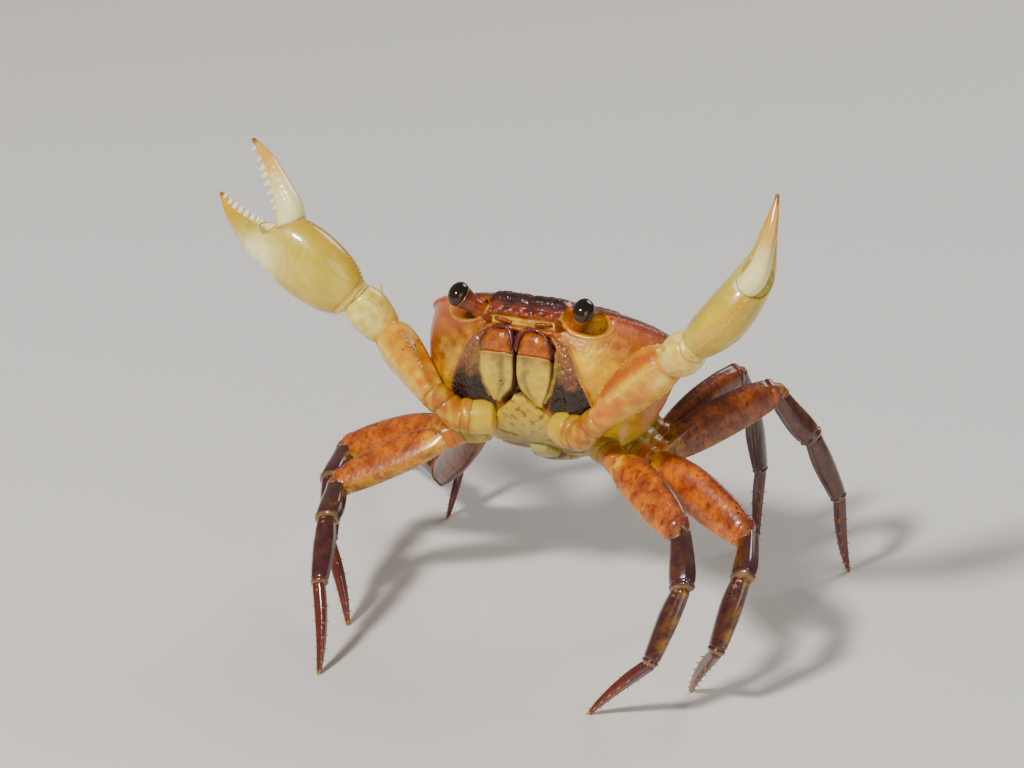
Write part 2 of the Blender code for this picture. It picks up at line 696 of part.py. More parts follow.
def movable_finger_shape(side):
    """Movable finger with its teeth."""
    rows = swung(movable_finger_rows(side), side)
    finger = loft(rows, 10, 2.2, 1.0, 0.6)
    whole = joined(finger, finger_teeth(rows, True))
    return cut_by_plane(whole, SEAM_LOW + GAP * seam_direction(), -seam_direction())


def build_claw(side, root, body, looks):
    """The five nodes of one claw-bearing limb."""
    place = body_to_floor()
    inverse = place.inverted()
    elbow, wrist, tip, up = (Vector(item) for item in CLAW_JOINTS[side])
    coxa, bend, start = (mirrored(point, side) for point in (COXA[1], CLAW_BEND, MERUS_START[1]))
    path = [(*coxa, 6.2, 5.8), (*coxa.lerp(bend, 0.6), 6.4, 6.0), (*bend, 5.4, 5.2),
            (*bend.lerp(start, 0.5), 5.0, 4.8), (*start, 5.0, 4.6)]
    rows = smooth_rows(path, 8)
    add_node(f"claw_base_{side}", loft(rows, 10, 2.2, 0.4, 0.6), looks["pale"], body)
    socket = loft(rows, 10, 2.2, 0.4, 0.6, GAP)
    before = moved(socket, place)

    start = place @ start
    arm = (elbow - start).length
    frame = limb_frame(start, elbow, Vector((0, 0, 1)))
    rows = smooth_rows([(0, 0, 0, 4.6, 4.4), (0.25 * arm, 0, 0.2, 6.0, 5.2), (0.6 * arm, 0, 0.5, 7.4, 6.2),
                        (0.85 * arm, 0, 0.4, 7.6, 6.2), (0.98 * arm, 0, 0, 6.0, 5.4)], 7)
    shape = carved(loft(rows, 12, 2.6, 0.8, 1.0), [moved(before, frame.inverted())])
    add_node(f"claw_merus_{side}", shape, looks["orange"], root, frame)
    before = moved(loft(rows, 12, 2.6, 0.8, 1.0, GAP), frame)

    fore = (wrist - elbow).length
    frame = limb_frame(elbow, wrist, up)
    rows = smooth_rows([(0, 0, 0, 5.0, 5.0), (0.35 * fore, 0, 0, 7.0, 6.8), (0.7 * fore, 0, 0, 7.4, 7.0),
                        (fore, 0, 0, 5.0, 4.6)], 6)
    inward = -1.0 if side == "right" else 1.0
    spine = cone((0.5 * fore, inward * 1.8, 1.4), (0.8 * fore, inward * 5.0, 4.0), 1.2, 8)
    whole = joined(loft(rows, 12, 2.2, 1.0, 0.8), [spine])
    shape = carved(whole, [moved(before, frame.inverted())])
    add_node(f"claw_carpus_{side}", shape, looks["cream"], root, frame)
    before = moved(loft(rows, 12, 2.2, 1.0, 0.8, GAP), frame)

    frame = limb_frame(wrist, tip, up)
    size = Matrix.Scale(CLAW_SIZE[side], 4)
    shape = carved(moved(palm_shape(side), size), [moved(before, frame.inverted())])
    add_node(f"palm_{side}", shape, looks["ivory"], root, frame)
    add_node(f"finger_{side}", moved(movable_finger_shape(side), size), looks["ivory"], root, frame)
    return socket


# Assembly


def margin_teeth():
    """The row of small teeth along each side margin, behind the eyes."""
    found = []
    for sign in (-1.0, 1.0):
        for x in np.linspace(14.0, HALF_WIDTH - 0.9, 11):
            front = float(shell_measures(x)[0])
            root = np.array((sign * (x - 0.5), front + 0.5, rim_height(front)))
            outward = np.array((sign * x / HALF_WIDTH, -math.sqrt(1 - (x / HALF_WIDTH) ** 2) - 0.3, 0.15))
            found.append(cone(root, root + 1.25 * outward, 0.55, 5))
    return found


def antennae():
    """The two short feelers beside the frons."""
    found = []
    for sign in (-1.0, 1.0):
        path = [(6.7, -13.8, -2.6, 1.5, 1.5), (7.0, -15.6, -2.8, 1.2, 1.2), (7.5, -17.2, -2.9, 0.7, 0.7),
                (8.1, -18.7, -2.7, 0.55, 0.55), (8.6, -20.0, -2.2, 0.5, 0.5)]
        rows = [(sign * x, *rest) for x, *rest in smooth_rows(path, 6)]
        found.append(loft(rows, 5, 2.0, 0.2, 0.3))
    return found


def build_body(root, body, sockets, looks):
    """Carapace, breastplate, abdomen, mouth plates and eyes."""
    mouth = [maxilliped_shape(side, GAP) for side in ("left", "right")]
    hollows = [sternum_shape(GAP), *mouth, *sockets]
    for side in ("left", "right"):
        frame, length = eye_frame(side)
        stalk = eyestalk_shape(length)
        add_node(f"eyestalk_{side}", stalk, looks["stalk"], body, frame)
        add_node(f"cornea_{side}", cornea_shape(), looks["cornea"], body, frame)
        hollows.append(moved(eyestalk_shape(length, GAP), frame))
        sign = 1.0 if side == "left" else -1.0
        hollows.append(ball((sign * 10.6, -15.6, -0.9), (3.1, 3.4, 2.3), 14, 7))
        add_node(f"maxilliped_{side}", maxilliped_shape(side), looks["mouth"], body)
    shape = joined(carapace_shape(), [*margin_teeth(), *antennae()])
    add_node("carapace", carved(shape, hollows), looks["shell"], body)
    add_node("sternum", carved(sternum_shape(), [*mouth, *sockets]), looks["pale"], body)
    add_node("abdomen", carved(abdomen_shape(), sockets), looks["pale"], body)


def centre_over_floor(root):
    """Slides the whole crab so that the middle of its outline is over the origin."""
    bpy.context.view_layer.update()
    points = []
    for node in bpy.context.scene.objects:
        if node.type == "MESH":
            place = np.array(node.matrix_world)
            verts = np.array([vert.co[:] for vert in node.data.vertices])
            points.append(verts @ place[:3, :3].T + place[:3, 3])
    points = np.concatenate(points)
    middle = (points.min(axis=0) + points.max(axis=0)) / 2
    root.location = (-middle[0], -middle[1], 0.0)


def build_crab():
    """The whole crab."""
    for old in list(bpy.data.objects):
        bpy.data.objects.remove(old)
    root = bpy.data.objects.new("crab", None)
    body = bpy.data.objects.new("body", None)
    for empty in (root, body):
        bpy.context.scene.collection.objects.link(empty)
    body.parent = root
    place = body_to_floor()
    place.translation *= MM
    body.matrix_local = place
    looks = {
        "shell": material("shell orange", (0.55, 0.16, 0.03), 0.35),
        "pale": material("breastplate yellow", (0.75, 0.52, 0.16), 0.4),
        "mouth": material("mouth plate orange", (0.62, 0.25, 0.05), 0.4),
        "stalk": material("eyestalk brown", (0.3, 0.09, 0.03), 0.35),
        "cornea": material("cornea black", (0.01, 0.006, 0.005), 0.08),
        "orange": material("thigh orange", (0.58, 0.2, 0.04), 0.4),
        "cream": material("wrist cream", (0.8, 0.6, 0.28), 0.35),
        "ivory": material("claw ivory", (0.85, 0.75, 0.5), 0.3),
        "purple": material("shin purple brown", (0.09, 0.025, 0.03), 0.2),
    }
    sockets = []
    for side in ("left", "right"):
        sockets.append(build_claw(side, root, body, looks))
        for number in (2, 3, 4, 5):
            sockets.append(build_leg(number, side, root, body, looks))
    build_body(root, body, sockets, looks)
    centre_over_floor(root)


build_crab()
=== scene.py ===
# %% [markdown]
# # A freshwater crab, built as surfaces
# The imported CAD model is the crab's fixed frame: its shell plates, claws and legs, each a coarse closed
# solid in metres. Every plate is drawn again here as a fine surface from the same measures, with its
# ridges, grooves, granules and colours, and takes the place of its CAD node. All lengths below are in
# millimetres until a mesh is made.

# %% Load the frame
import math

import bpy
import numpy as np
from mathutils import Matrix, Vector


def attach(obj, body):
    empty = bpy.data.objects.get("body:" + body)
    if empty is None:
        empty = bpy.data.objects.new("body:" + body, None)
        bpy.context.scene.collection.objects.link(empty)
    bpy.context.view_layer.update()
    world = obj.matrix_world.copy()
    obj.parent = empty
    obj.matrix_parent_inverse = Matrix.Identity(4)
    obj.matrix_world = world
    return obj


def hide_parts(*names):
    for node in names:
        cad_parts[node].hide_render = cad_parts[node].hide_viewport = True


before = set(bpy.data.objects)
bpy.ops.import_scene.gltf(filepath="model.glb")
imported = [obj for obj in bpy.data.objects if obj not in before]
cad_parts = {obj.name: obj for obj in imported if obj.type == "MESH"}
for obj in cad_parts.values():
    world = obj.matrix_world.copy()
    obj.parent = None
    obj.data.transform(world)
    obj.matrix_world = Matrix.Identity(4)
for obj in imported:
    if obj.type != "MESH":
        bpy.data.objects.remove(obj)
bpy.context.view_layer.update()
MM = 0.001

# %% [markdown]
# ## Where the body stands
# The crab rears up: its body is pitched nose-up and rolled a little. The body has its own frame, with x
# to its left, y to its rear and z to its back, and one matrix sets it over the floor. The whole crab is
# slid so that the middle of its outline is over the origin. Each plate could be turned by hand, but one
# matrix keeps them all in step.

# %% The body's place
SLIDE = Vector((7.228, 6.097, 0.0))
BODY_HEIGHT = 48.0
PITCH, ROLL = math.radians(40.4), math.radians(4.6)
TURN = Matrix.Rotation(-PITCH, 4, "X") @ Matrix.Rotation(-ROLL, 4, "Y")
STANCE = Matrix.Translation((0.0, 0.0, BODY_HEIGHT)) @ TURN
FLOOR = Matrix.Translation(SLIDE)
BODY = FLOOR @ STANCE
SIDES = ("left", "right")


def sign_of(side):
    """1 for the crab's left side, -1 for its right."""
    return 1.0 if side == "left" else -1.0


def mirrored(point, side):
    """The left side's point, or its mirror image."""
    return Vector((sign_of(side) * point[0], point[1], point[2]))


def placed(points, matrix):
    """Points carried over by a matrix: each is turned by its 3 x 3 part, then moved by its last column."""
    matrix = np.array(matrix)
    return points @ matrix[:3, :3].T + matrix[:3, 3]


# %% [markdown]
# ## Camera, floor and light
# The camera stands where the photograph was taken from, a long lens a little above the crab and to its
# left front. A short lens close by would make the near claw too big. The floor is a plain pale sheet,
# and three soft lamps with a pale surround light it, so that the shell's gloss shows without glare.

# %% Camera
LENS, SENSOR_WIDTH = 125.558, 36.0
CAMERA_AT, CAMERA_TO = (301.8, -485.0, 270.4), (0.5, -17.3, 45.6)
camera_data = bpy.data.cameras.new("camera")
camera = bpy.data.objects.new("camera", camera_data)
bpy.context.scene.collection.objects.link(camera)
camera_data.lens, camera_data.sensor_width = LENS, SENSOR_WIDTH
camera_data.clip_start, camera_data.clip_end = 0.01, 20.0
camera_at = (Vector(CAMERA_AT) + SLIDE) * MM
camera_to = (Vector(CAMERA_TO) + SLIDE) * MM
camera.location = camera_at
camera.rotation_euler = (camera_to - camera_at).to_track_quat("-Z", "Y").to_euler()
bpy.context.scene.camera = camera

# %% Floor and lamps
floor_mesh = bpy.data.meshes.new("floor")
FLOOR_HALF = 4.0
corners = [(-FLOOR_HALF, -FLOOR_HALF, 0), (FLOOR_HALF, -FLOOR_HALF, 0),
           (FLOOR_HALF, FLOOR_HALF, 0), (-FLOOR_HALF, FLOOR_HALF, 0)]
floor_mesh.from_pydata(corners, [], [(0, 1, 2, 3)])
floor = bpy.data.objects.new("floor", floor_mesh)
bpy.context.scene.collection.objects.link(floor)
floor_look = bpy.data.materials.new("floor pale")
floor_look.use_nodes = True
floor_surface = floor_look.node_tree.nodes["Principled BSDF"]
floor_surface.inputs["Base Color"].default_value = (0.72, 0.70, 0.67, 1)
floor_surface.inputs["Roughness"].default_value = 0.8
floor_mesh.materials.append(floor_look)
LAMP_AIM = Vector((0.0, 0.0, 0.045))


def lamp(name, place, power, size, colour):
    """A square soft lamp at a place in metres, turned to the crab."""
    data = bpy.data.lights.new(name, "AREA")
    data.energy, data.size, data.color = power, size, colour
    made = bpy.data.objects.new(name, data)
    bpy.context.scene.collection.objects.link(made)
    made.location = place
    made.rotation_euler = (LAMP_AIM - Vector(place)).to_track_quat("-Z", "Y").to_euler()
    return made


lamp("key lamp", (-0.12, -0.80, 0.85), 16.0, 0.14, (1.0, 0.97, 0.92))
lamp("fill lamp", (0.95, -0.50, 0.40), 2.6, 0.60, (1.0, 0.97, 0.93))
lamp("back lamp", (0.15, 0.85, 0.75), 5.0, 0.50, (1.0, 0.98, 0.95))
world = bpy.data.worlds.new("surround")
bpy.context.scene.world = world
world.use_nodes = True
surround = world.node_tree.nodes["Background"]
surround.inputs["Color"].default_value = (0.95, 0.93, 0.90, 1)
surround.inputs["Strength"].default_value = 0.20
print("camera, floor and lamps are set")

# %% [markdown]
# ## From numbers to a mesh
# A crab's plate is a closed skin. Each one here is a stack of rings of points, joined ring to ring and
# closed by a point at each end. Every point also carries a colour, so that a pattern can follow the
# plate's own form, and the material adds the finer speckle. A block could be extruded and smoothed
# instead, but rings from formulas stay even and closed, and one changed number moves a whole plate.


# %% Rings to skins
STUD_LEVELS = (0.0, 0.3, 0.6, 0.85)  # shares of a stud's height at which it has a ring
STUD_SINK = 0.35  # depth of a stud's root, as a share of its radius


def stack_faces(count, sides):
    """Faces of count rings of points between a first and a last point: four-sided ones from ring to
    ring, and a fan of three-sided ones at the low and at the high end."""
    here = np.arange(count * sides).reshape(count, sides) + 1
    there = np.roll(here, -1, axis=1)
    quads = np.stack([here[:-1], there[:-1], there[1:], here[1:]], -1).reshape(-1, 4)
    low = np.stack([np.zeros(sides, int), there[0], here[0]], -1)
    high = np.stack([np.full(sides, count * sides + 1), here[-1], there[-1]], -1)
    return quads, low, high


def skin(rings, paint, start=None, end=None):
    """A closed skin over rings[n, m, 3]: neighbours in a ring and in the stack make four-sided faces, and
    the first and last rings close on a point. Its signed volume, a sum of corner triple products, tells
    whether its faces have to be turned round."""
    count, sides = rings.shape[:2]
    paint = np.broadcast_to(paint, rings.shape)
    start = rings[0].mean(0) if start is None else np.asarray(start)
    end = rings[-1].mean(0) if end is None else np.asarray(end)
    verts = np.concatenate([start[None], rings.reshape(-1, 3), end[None]])
    colours = np.concatenate([paint[0].mean(0)[None], paint.reshape(-1, 3), paint[-1].mean(0)[None]])
    quads, low, high = stack_faces(count, sides)
    tris = np.concatenate([low, high, quads[:, :3], quads[:, [0, 2, 3]]])
    a, b, c = (verts[tris[:, corner]] - verts.mean(0) for corner in range(3))
    if np.einsum("ij,ij->i", a, np.cross(b, c)).sum() < 0:
        quads, low, high = quads[:, ::-1], low[:, ::-1], high[:, ::-1]
    return verts, np.concatenate([low, high]), quads, colours


def studs(centres, outward, radii, heights, root, tip, lean=None, sides=6, sharp=1.0):
    """Many small spines or granules at once. Each is a stack of rings whose radius falls with the
    share t of its height: as 1 - t to the power sharp where sharp is 1 or more, a thorn, and else as the
    square root of 1 - t squared, a dome. It bends by lean times t squared and is closed below."""
    centres, outward = np.atleast_2d(centres), np.atleast_2d(outward)
    number = len(centres)
    radii, heights = np.broadcast_to(radii, number), np.broadcast_to(heights, number)
    outward = outward / np.linalg.norm(outward, axis=1)[:, None]
    helper = np.where(np.abs(outward[:, 2:]) < 0.9, (0.0, 0.0, 1.0), (1.0, 0.0, 0.0))
    across = np.cross(outward, helper)
    across /= np.linalg.norm(across, axis=1)[:, None]
    upward = np.cross(outward, across)
    level = np.array(STUD_LEVELS)
    width = (1 - level) ** sharp if sharp >= 1 else (1 - level**2) ** 0.5
    turn = np.linspace(0, 2 * math.pi, sides, endpoint=False)
    flat = np.cos(turn)[None, :, None] * across[:, None] + np.sin(turn)[None, :, None] * upward[:, None]
    lean = np.zeros((number, 3)) if lean is None else np.broadcast_to(lean, (number, 3))
    up = outward[:, None] * (level[None, :] * heights[:, None])[..., None]
    up = up + lean[:, None] * (level**2)[None, :, None] - outward[:, None] * (STUD_SINK * radii)[:, None,
                                                                                                 None]
    wide = (width[None, :] * radii[:, None])[..., None, None]
    rings = centres[:, None, None] + up[:, :, None] + flat[:, None] * wide
    top = centres + outward * (heights - STUD_SINK * radii)[:, None] + lean
    foot = centres - outward * (2 * STUD_SINK * radii)[:, None]
    block = np.concatenate([foot[:, None], rings.reshape(number, -1, 3), top[:, None]], 1)
    quads, low, high = stack_faces(len(level), sides)
    shift = (np.arange(number) * block.shape[1])[:, None, None]
    shade = np.concatenate([[0.0], np.repeat(level, sides), [1.0]])[None, :, None]
    colours = np.asarray(root) * (1 - shade) + np.asarray(tip) * shade
    colours = np.broadcast_to(colours, block.shape)
    tris = (np.concatenate([low, high])[None] + shift).reshape(-1, 3)
    return block.reshape(-1, 3), tris, (quads[None] + shift).reshape(-1, 4), colours.reshape(-1, 3)


def piece(name, skins, look, nodes=(), place=FLOOR):
    """One object from its skins, in metres at its place, riding on the crab. nodes are the CAD nodes
    that it stands for."""
    verts, tris, quads, colours, offset = [], [], [], [], 0
    for points, threes, fours, paint in skins:
        verts.append(points)
        tris.append(threes + offset)
        quads.append(fours + offset)
        colours.append(paint)
        offset += len(points)
    verts = placed(np.concatenate(verts), place)
    verts[:, 2] = np.maximum(verts[:, 2], 0.0)  # the tips of the legs rest flat on the floor
    tris, quads = np.concatenate(tris), np.concatenate(quads)
    mesh = bpy.data.meshes.new(name)
    mesh.vertices.add(len(verts))
    mesh.vertices.foreach_set("co", (verts * MM).ravel())
    mesh.loops.add(tris.size + quads.size)
    mesh.polygons.add(len(tris) + len(quads))
    starts = np.concatenate([np.arange(len(tris)) * 3, tris.size + np.arange(len(quads)) * 4])
    mesh.polygons.foreach_set("loop_start", starts.astype(np.int32))
    mesh.polygons.foreach_set("vertices", np.concatenate([tris.ravel(), quads.ravel()]).astype(np.int32))
    mesh.update(calc_edges=True)
    paint = mesh.attributes.new("paint", "FLOAT_COLOR", "POINT")
    rgba = np.ones((len(verts), 4))
    rgba[:, :3] = np.clip(np.concatenate(colours), 0.0, 1.0)
    paint.data.foreach_set("color", rgba.ravel())
    mesh.shade_smooth()
    mesh.materials.append(look)
    made = bpy.data.objects.new(name, mesh)
    bpy.context.scene.collection.objects.link(made)
    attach(made, "root")
    if nodes:
        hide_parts(*nodes)
    print(name, len(tris) + 2 * len(quads), "triangles")
    return made


# %% [markdown]
# ## Soft steps, mixes and ripples
# Colours and reliefs are sums of a few simple shapes: a soft step from 0 to 1, a bell round a line, and
# a ripple, which is a sum of sine waves in fixed directions and gives lumps without any pattern that
# the eye can find. Noise textures could do the same in a material alone, but numbers can also move the
# surface, so that a dark groove is sunk where it is dark.


# %% Helpers for form and colour
def soft(value, low, high):
    """0 below low, 1 above high, and 3t^2 - 2t^3 between."""
    t = np.clip((value - low) / (high - low), 0.0, 1.0)
    return t * t * (3 - 2 * t)


def bell(value, middle, width):
    """exp(-((value - middle) / width)^2)"""
    return np.exp(-(((value - middle) / width) ** 2))


def mix(first, second, mask):
    """first where the mask is 0, second where it is 1: first + (second - first) * mask. A single colour
    spreads over the mask."""
    return first + (np.asarray(second) - first) * np.clip(mask, 0.0, 1.0)[..., None]


RIPPLE_WAVES = 14


def ripple(points, size, seed):
    """Sum of sine waves with seeded directions and wavelengths near size, scaled to about -1 to 1."""
    draw = np.random.default_rng(seed)
    total = np.zeros(points.shape[:-1])
    for _ in range(RIPPLE_WAVES):
        direction = draw.normal(size=3)
        direction *= 2 * math.pi / (size * draw.uniform(0.7, 1.6)) / np.linalg.norm(direction)
        total += np.sin(points @ direction + draw.uniform(0, 2 * math.pi))
    return total / math.sqrt(RIPPLE_WAVES / 2) / 1.6


def smooth_rows(rows, count):
    """Rows of a profile sampled evenly along a Catmull-Rom curve: on each span a cubic in t whose slopes
    at its ends are half the distance between the neighbours."""
    rows = np.asarray(rows, float)
    spots = np.linspace(0.0, len(rows) - 1.0, count)
    start = np.clip(spots.astype(int), 0, len(rows) - 2)
    part = (spots - start)[:, None]
    before = rows[np.clip(start - 1, 0, None)]
    here, there = rows[start], rows[start + 1]
    after = rows[np.clip(start + 2, None, len(rows) - 1)]
    linear = (there - before) * part
    square = (2 * before - 5 * here + 4 * there - after) * part**2
    cube = (3 * here - before - 3 * there + after) * part**3
    return here + 0.5 * (linear + square + cube)


# %% [markdown]
# ## Finishes
# A crab's shell is chitin under a thin wet gloss. All finishes read the colour that each point carries.
# Three effects are node groups, built once: the blotches that break up a colour, the fine pores and
# grain of the surface, and the small dark freckles scattered over the shell. A painted picture would do
# for one view, but patterns worked out in the object's own coordinates stay sharp from every side.


# %% Node groups
def group(name, inputs, outputs):
    """An empty node group with named float sockets, and its two end nodes."""
    made = bpy.data.node_groups.new(name, "ShaderNodeTree")
    for label, value in inputs:
        socket = made.interface.new_socket(name=label, in_out="INPUT", socket_type="NodeSocketFloat")
        socket.default_value = value
    for label in outputs:
        made.interface.new_socket(name=label, in_out="OUTPUT", socket_type="NodeSocketFloat")
    return made, made.nodes.new("NodeGroupInput"), made.nodes.new("NodeGroupOutput")


def math_node(tree, operation, first, second):
    """A Math node whose inputs are sockets or numbers."""
    node = tree.nodes.new("ShaderNodeMath")
    node.operation = operation
    for slot, value in zip(node.inputs, (first, second)):
        if isinstance(value, (int, float)):
            slot.default_value = value
        else:
            tree.links.new(value, slot)
    return node.outputs[0]


def texture(tree, kind, scale, **settings):
    """A texture node on Object coordinates, with its scale from a socket or a number."""
    node = tree.nodes.new(kind)
    place = tree.nodes.new("ShaderNodeTexCoord")
    tree.links.new(place.outputs["Object"], node.inputs["Vector"])
    if isinstance(scale, (int, float)):
        node.inputs["Scale"].default_value = scale
    else:
        tree.links.new(scale, node.inputs["Scale"])
    for label, value in settings.items():
        node.inputs[label.title()].default_value = value
    return node


blotches, ends_in, ends_out = group("Blotches", [("Scale", 300.0)], ["Mask"])
clouds = texture(blotches, "ShaderNodeTexNoise", ends_in.outputs["Scale"], detail=5.0, roughness=0.62,
                 distortion=0.6)
blotches.links.new(clouds.outputs["Fac"], ends_out.inputs["Mask"])

grain, ends_in, ends_out = group("Pores and grain", [("Scale", 1400.0)], ["Height"])
pores = texture(grain, "ShaderNodeTexVoronoi", ends_in.outputs["Scale"], randomness=1.0)
lump_scale = math_node(grain, "MULTIPLY", ends_in.outputs["Scale"], 0.45)
lumps = texture(grain, "ShaderNodeTexNoise", lump_scale, detail=3.0)
grain_height = math_node(grain, "ADD", pores.outputs["Distance"], lumps.outputs["Fac"])
grain.links.new(grain_height, ends_out.inputs["Height"])

FRECKLE_SCALE = 900.0
freckles, ends_in, ends_out = group("Dark freckles", [("Amount", 0.5), ("Scale", FRECKLE_SCALE)],
                                    ["Mask"])
dots = texture(freckles, "ShaderNodeTexVoronoi", ends_in.outputs["Scale"], randomness=1.0)
patches = texture(freckles, "ShaderNodeTexNoise", 120.0, detail=2.0)
patch_share = math_node(freckles, "SUBTRACT", patches.outputs["Fac"], 0.52)
room = math_node(freckles, "MULTIPLY", patch_share, ends_in.outputs["Amount"])
dot_size = math_node(freckles, "MULTIPLY", room, 2.4)
near = math_node(freckles, "LESS_THAN", dots.outputs["Distance"], dot_size)
freckles.links.new(near, ends_out.inputs["Mask"])


# %% The shell finish
GRAIN_DEPTH = 0.0003  # metres
SHEEN_LEVEL = 0.35


def use_group(tree, made, **values):
    """A group placed in a material with its own values."""
    node = tree.nodes.new("ShaderNodeGroup")
    node.node_tree = made
    for label, value in values.items():
        node.inputs[label].default_value = value
    return node


def shell_finish(name, roughness=0.32, coat=0.5, coat_roughness=0.12, blotch_scale=300.0, blotch=0.35,
                 dark=(0.4, 0.24, 0.14), grain_scale=1400.0, bump=0.12, freckling=0.4):
    """Chitin: the painted colour, darkened by blotches, with dark freckles, grain and a wet coat."""
    look = bpy.data.materials.new(name)
    look.use_nodes = True
    tree = look.node_tree
    surface = tree.nodes["Principled BSDF"]
    paint = tree.nodes.new("ShaderNodeAttribute")
    paint.attribute_name = "paint"
    cloud = use_group(tree, blotches, Scale=blotch_scale)
    span = tree.nodes.new("ShaderNodeMapRange")
    span.inputs["From Min"].default_value, span.inputs["From Max"].default_value = 0.42, 0.68
    span.inputs["To Min"].default_value, span.inputs["To Max"].default_value = 0.0, blotch
    tree.links.new(cloud.outputs["Mask"], span.inputs["Value"])
    darker = tree.nodes.new("ShaderNodeMix")
    darker.data_type, darker.blend_type = "RGBA", "MULTIPLY"
    darker.inputs["B"].default_value = (*dark, 1.0)
    tree.links.new(span.outputs["Result"], darker.inputs["Factor"])
    tree.links.new(paint.outputs["Color"], darker.inputs["A"])
    dark_dots = use_group(tree, freckles, Amount=freckling, Scale=FRECKLE_SCALE)
    freckled = tree.nodes.new("ShaderNodeMix")
    freckled.data_type = "RGBA"
    freckled.inputs["B"].default_value = (0.035, 0.018, 0.010, 1.0)
    tree.links.new(dark_dots.outputs["Mask"], freckled.inputs["Factor"])
    tree.links.new(darker.outputs["Result"], freckled.inputs["A"])
    tree.links.new(freckled.outputs["Result"], surface.inputs["Base Color"])
    rough = tree.nodes.new("ShaderNodeMapRange")
    rough.inputs["To Min"].default_value = roughness * 0.7
    rough.inputs["To Max"].default_value = roughness * 1.4
    tree.links.new(cloud.outputs["Mask"], rough.inputs["Value"])
    tree.links.new(rough.outputs["Result"], surface.inputs["Roughness"])
    height = use_group(tree, grain, Scale=grain_scale)
    raised = tree.nodes.new("ShaderNodeBump")
    raised.inputs["Strength"].default_value = bump
    raised.inputs["Distance"].default_value = GRAIN_DEPTH
    tree.links.new(height.outputs["Height"], raised.inputs["Height"])
    tree.links.new(raised.outputs["Normal"], surface.inputs["Normal"])
    surface.inputs["Specular IOR Level"].default_value = SHEEN_LEVEL
    surface.inputs["Coat Weight"].default_value = coat
    surface.inputs["Coat Roughness"].default_value = coat_roughness
    return look


SHELL = shell_finish("shell orange", roughness=0.36, coat=0.5, coat_roughness=0.07, blotch_scale=260.0,
                     blotch=0.45, bump=0.25,
                     freckling=0.45)
BREASTPLATE = shell_finish("breastplate yellow", roughness=0.36, coat=0.35, blotch_scale=350.0,
                           blotch=0.3,
                           dark=(0.42, 0.30, 0.12), freckling=0.55)
MOUTH = shell_finish("mouth plate orange", roughness=0.33, coat=0.7, coat_roughness=0.07, bump=0.25,
                     blotch_scale=420.0, blotch=0.4, freckling=0.5)
STALK = shell_finish("eyestalk brown", roughness=0.28, coat=0.8, coat_roughness=0.06, blotch_scale=600.0,
                     freckling=0.0)
CORNEA = shell_finish("cornea black", roughness=0.10, coat=0.4, coat_roughness=0.03, blotch=0.2,
                      bump=0.02,
                      grain_scale=5200.0, freckling=0.0)
THIGH = shell_finish("thigh orange", roughness=0.34, coat=0.6, coat_roughness=0.09, blotch_scale=620.0,
                     blotch=0.85,
                     dark=(0.34, 0.13, 0.07), grain_scale=1100.0, bump=0.2, freckling=0.5)
CLAW = shell_finish("claw ivory", roughness=0.3, coat=0.85, coat_roughness=0.06, blotch_scale=160.0,
                    blotch=0.22,
                    dark=(0.62, 0.48, 0.22), grain_scale=1700.0, bump=0.06, freckling=0.3)
SHIN = shell_finish("shin purple", roughness=0.22, coat=1.0, coat_roughness=0.07, blotch_scale=700.0,
                    blotch=0.6,
                    dark=(0.4, 0.3, 0.3), grain_scale=1500.0, bump=0.1, freckling=0.3)
SOFT_SKIN = shell_finish("joint skin", roughness=0.5, coat=0.25, blotch_scale=900.0, blotch=0.5,
                         bump=0.25, freckling=0.3)
HORN = shell_finish("tooth and spine horn", roughness=0.3, coat=0.5, blotch_scale=1200.0, blotch=0.2,
                    bump=0.05,
                    freckling=0.0)
print(len(bpy.data.materials), "finishes")

# %% Colours, as the share of red, green and blue light that the shell gives back
ORANGE = np.array((0.62, 0.150, 0.001))
DEEP_ORANGE = np.array((0.40, 0.080, 0.006))
YELLOW = np.array((0.84, 0.480, 0.0))
PALE = np.array((0.72, 0.510, 0.030))
OLIVE = np.array((0.27, 0.185, 0.015))
CREAM = np.array((0.92, 0.770, 0.170))
IVORY = np.array((0.93, 0.890, 0.380))
AMBER = np.array((0.76, 0.350, 0.001))
RED = np.array((0.30, 0.032, 0.010))
MAROON = np.array((0.070, 0.008, 0.007))
BLACK = np.array((0.012, 0.006, 0.005))
BROWN = np.array((0.17, 0.062, 0.018))
PINK = np.array((0.52, 0.140, 0.060))
TAN = np.array((0.36, 0.190, 0.045))
PURPLE = np.array((0.060, 0.013, 0.016))
HUSK = np.array((0.56, 0.400, 0.012))
WHITE = np.array((0.92, 0.860, 0.640))

# %% [markdown]
# ## The shell of the body
# The carapace is one hard shell that wraps the back, the face and the cheeks. Its smooth form is a
# stack of rounded sections across the body, flatter above and deep below. On it stand the front's dark
# brow, the two eye hollows, the mouth frame, the ridge that bounds the rough brown side field, and the
# toothed side margin. They are drawn as reliefs over the smooth form, so they can be fine without any
# cutting.

# %% The smooth shell
HALF_WIDTH, FRONT_Y, REAR_Y, WIDEST_Y, CROWN_Y = 23.5, -15.3, 16.0, -2.0, 2.0
DOME, DEPTH = 4.2, 18.7
EYE_HOLLOW = (11.4, -1.0, 4.1, 2.75)  # centre across and up, then its half-width and half-height


def shell_measures(x):
    """Front, rear and crown places along y, and the heights above and below, each a power curve of the
    share of the half-width that x is."""
    part = np.clip(np.abs(x) / HALF_WIDTH, 0.0, 1.0)
    front = WIDEST_Y + (FRONT_Y - WIDEST_Y) * (1 - part**2.8) ** 0.5
    rear = WIDEST_Y + (REAR_Y - WIDEST_Y) * (1 - part**2.2) ** 0.74
    crown = WIDEST_Y + (CROWN_Y - WIDEST_Y) * (1 - part**2)
    above = DOME * (1 - part**2.6) ** 0.55
    below = DEPTH * (1 - part**4) ** 0.556
    return front, rear, crown, above, below


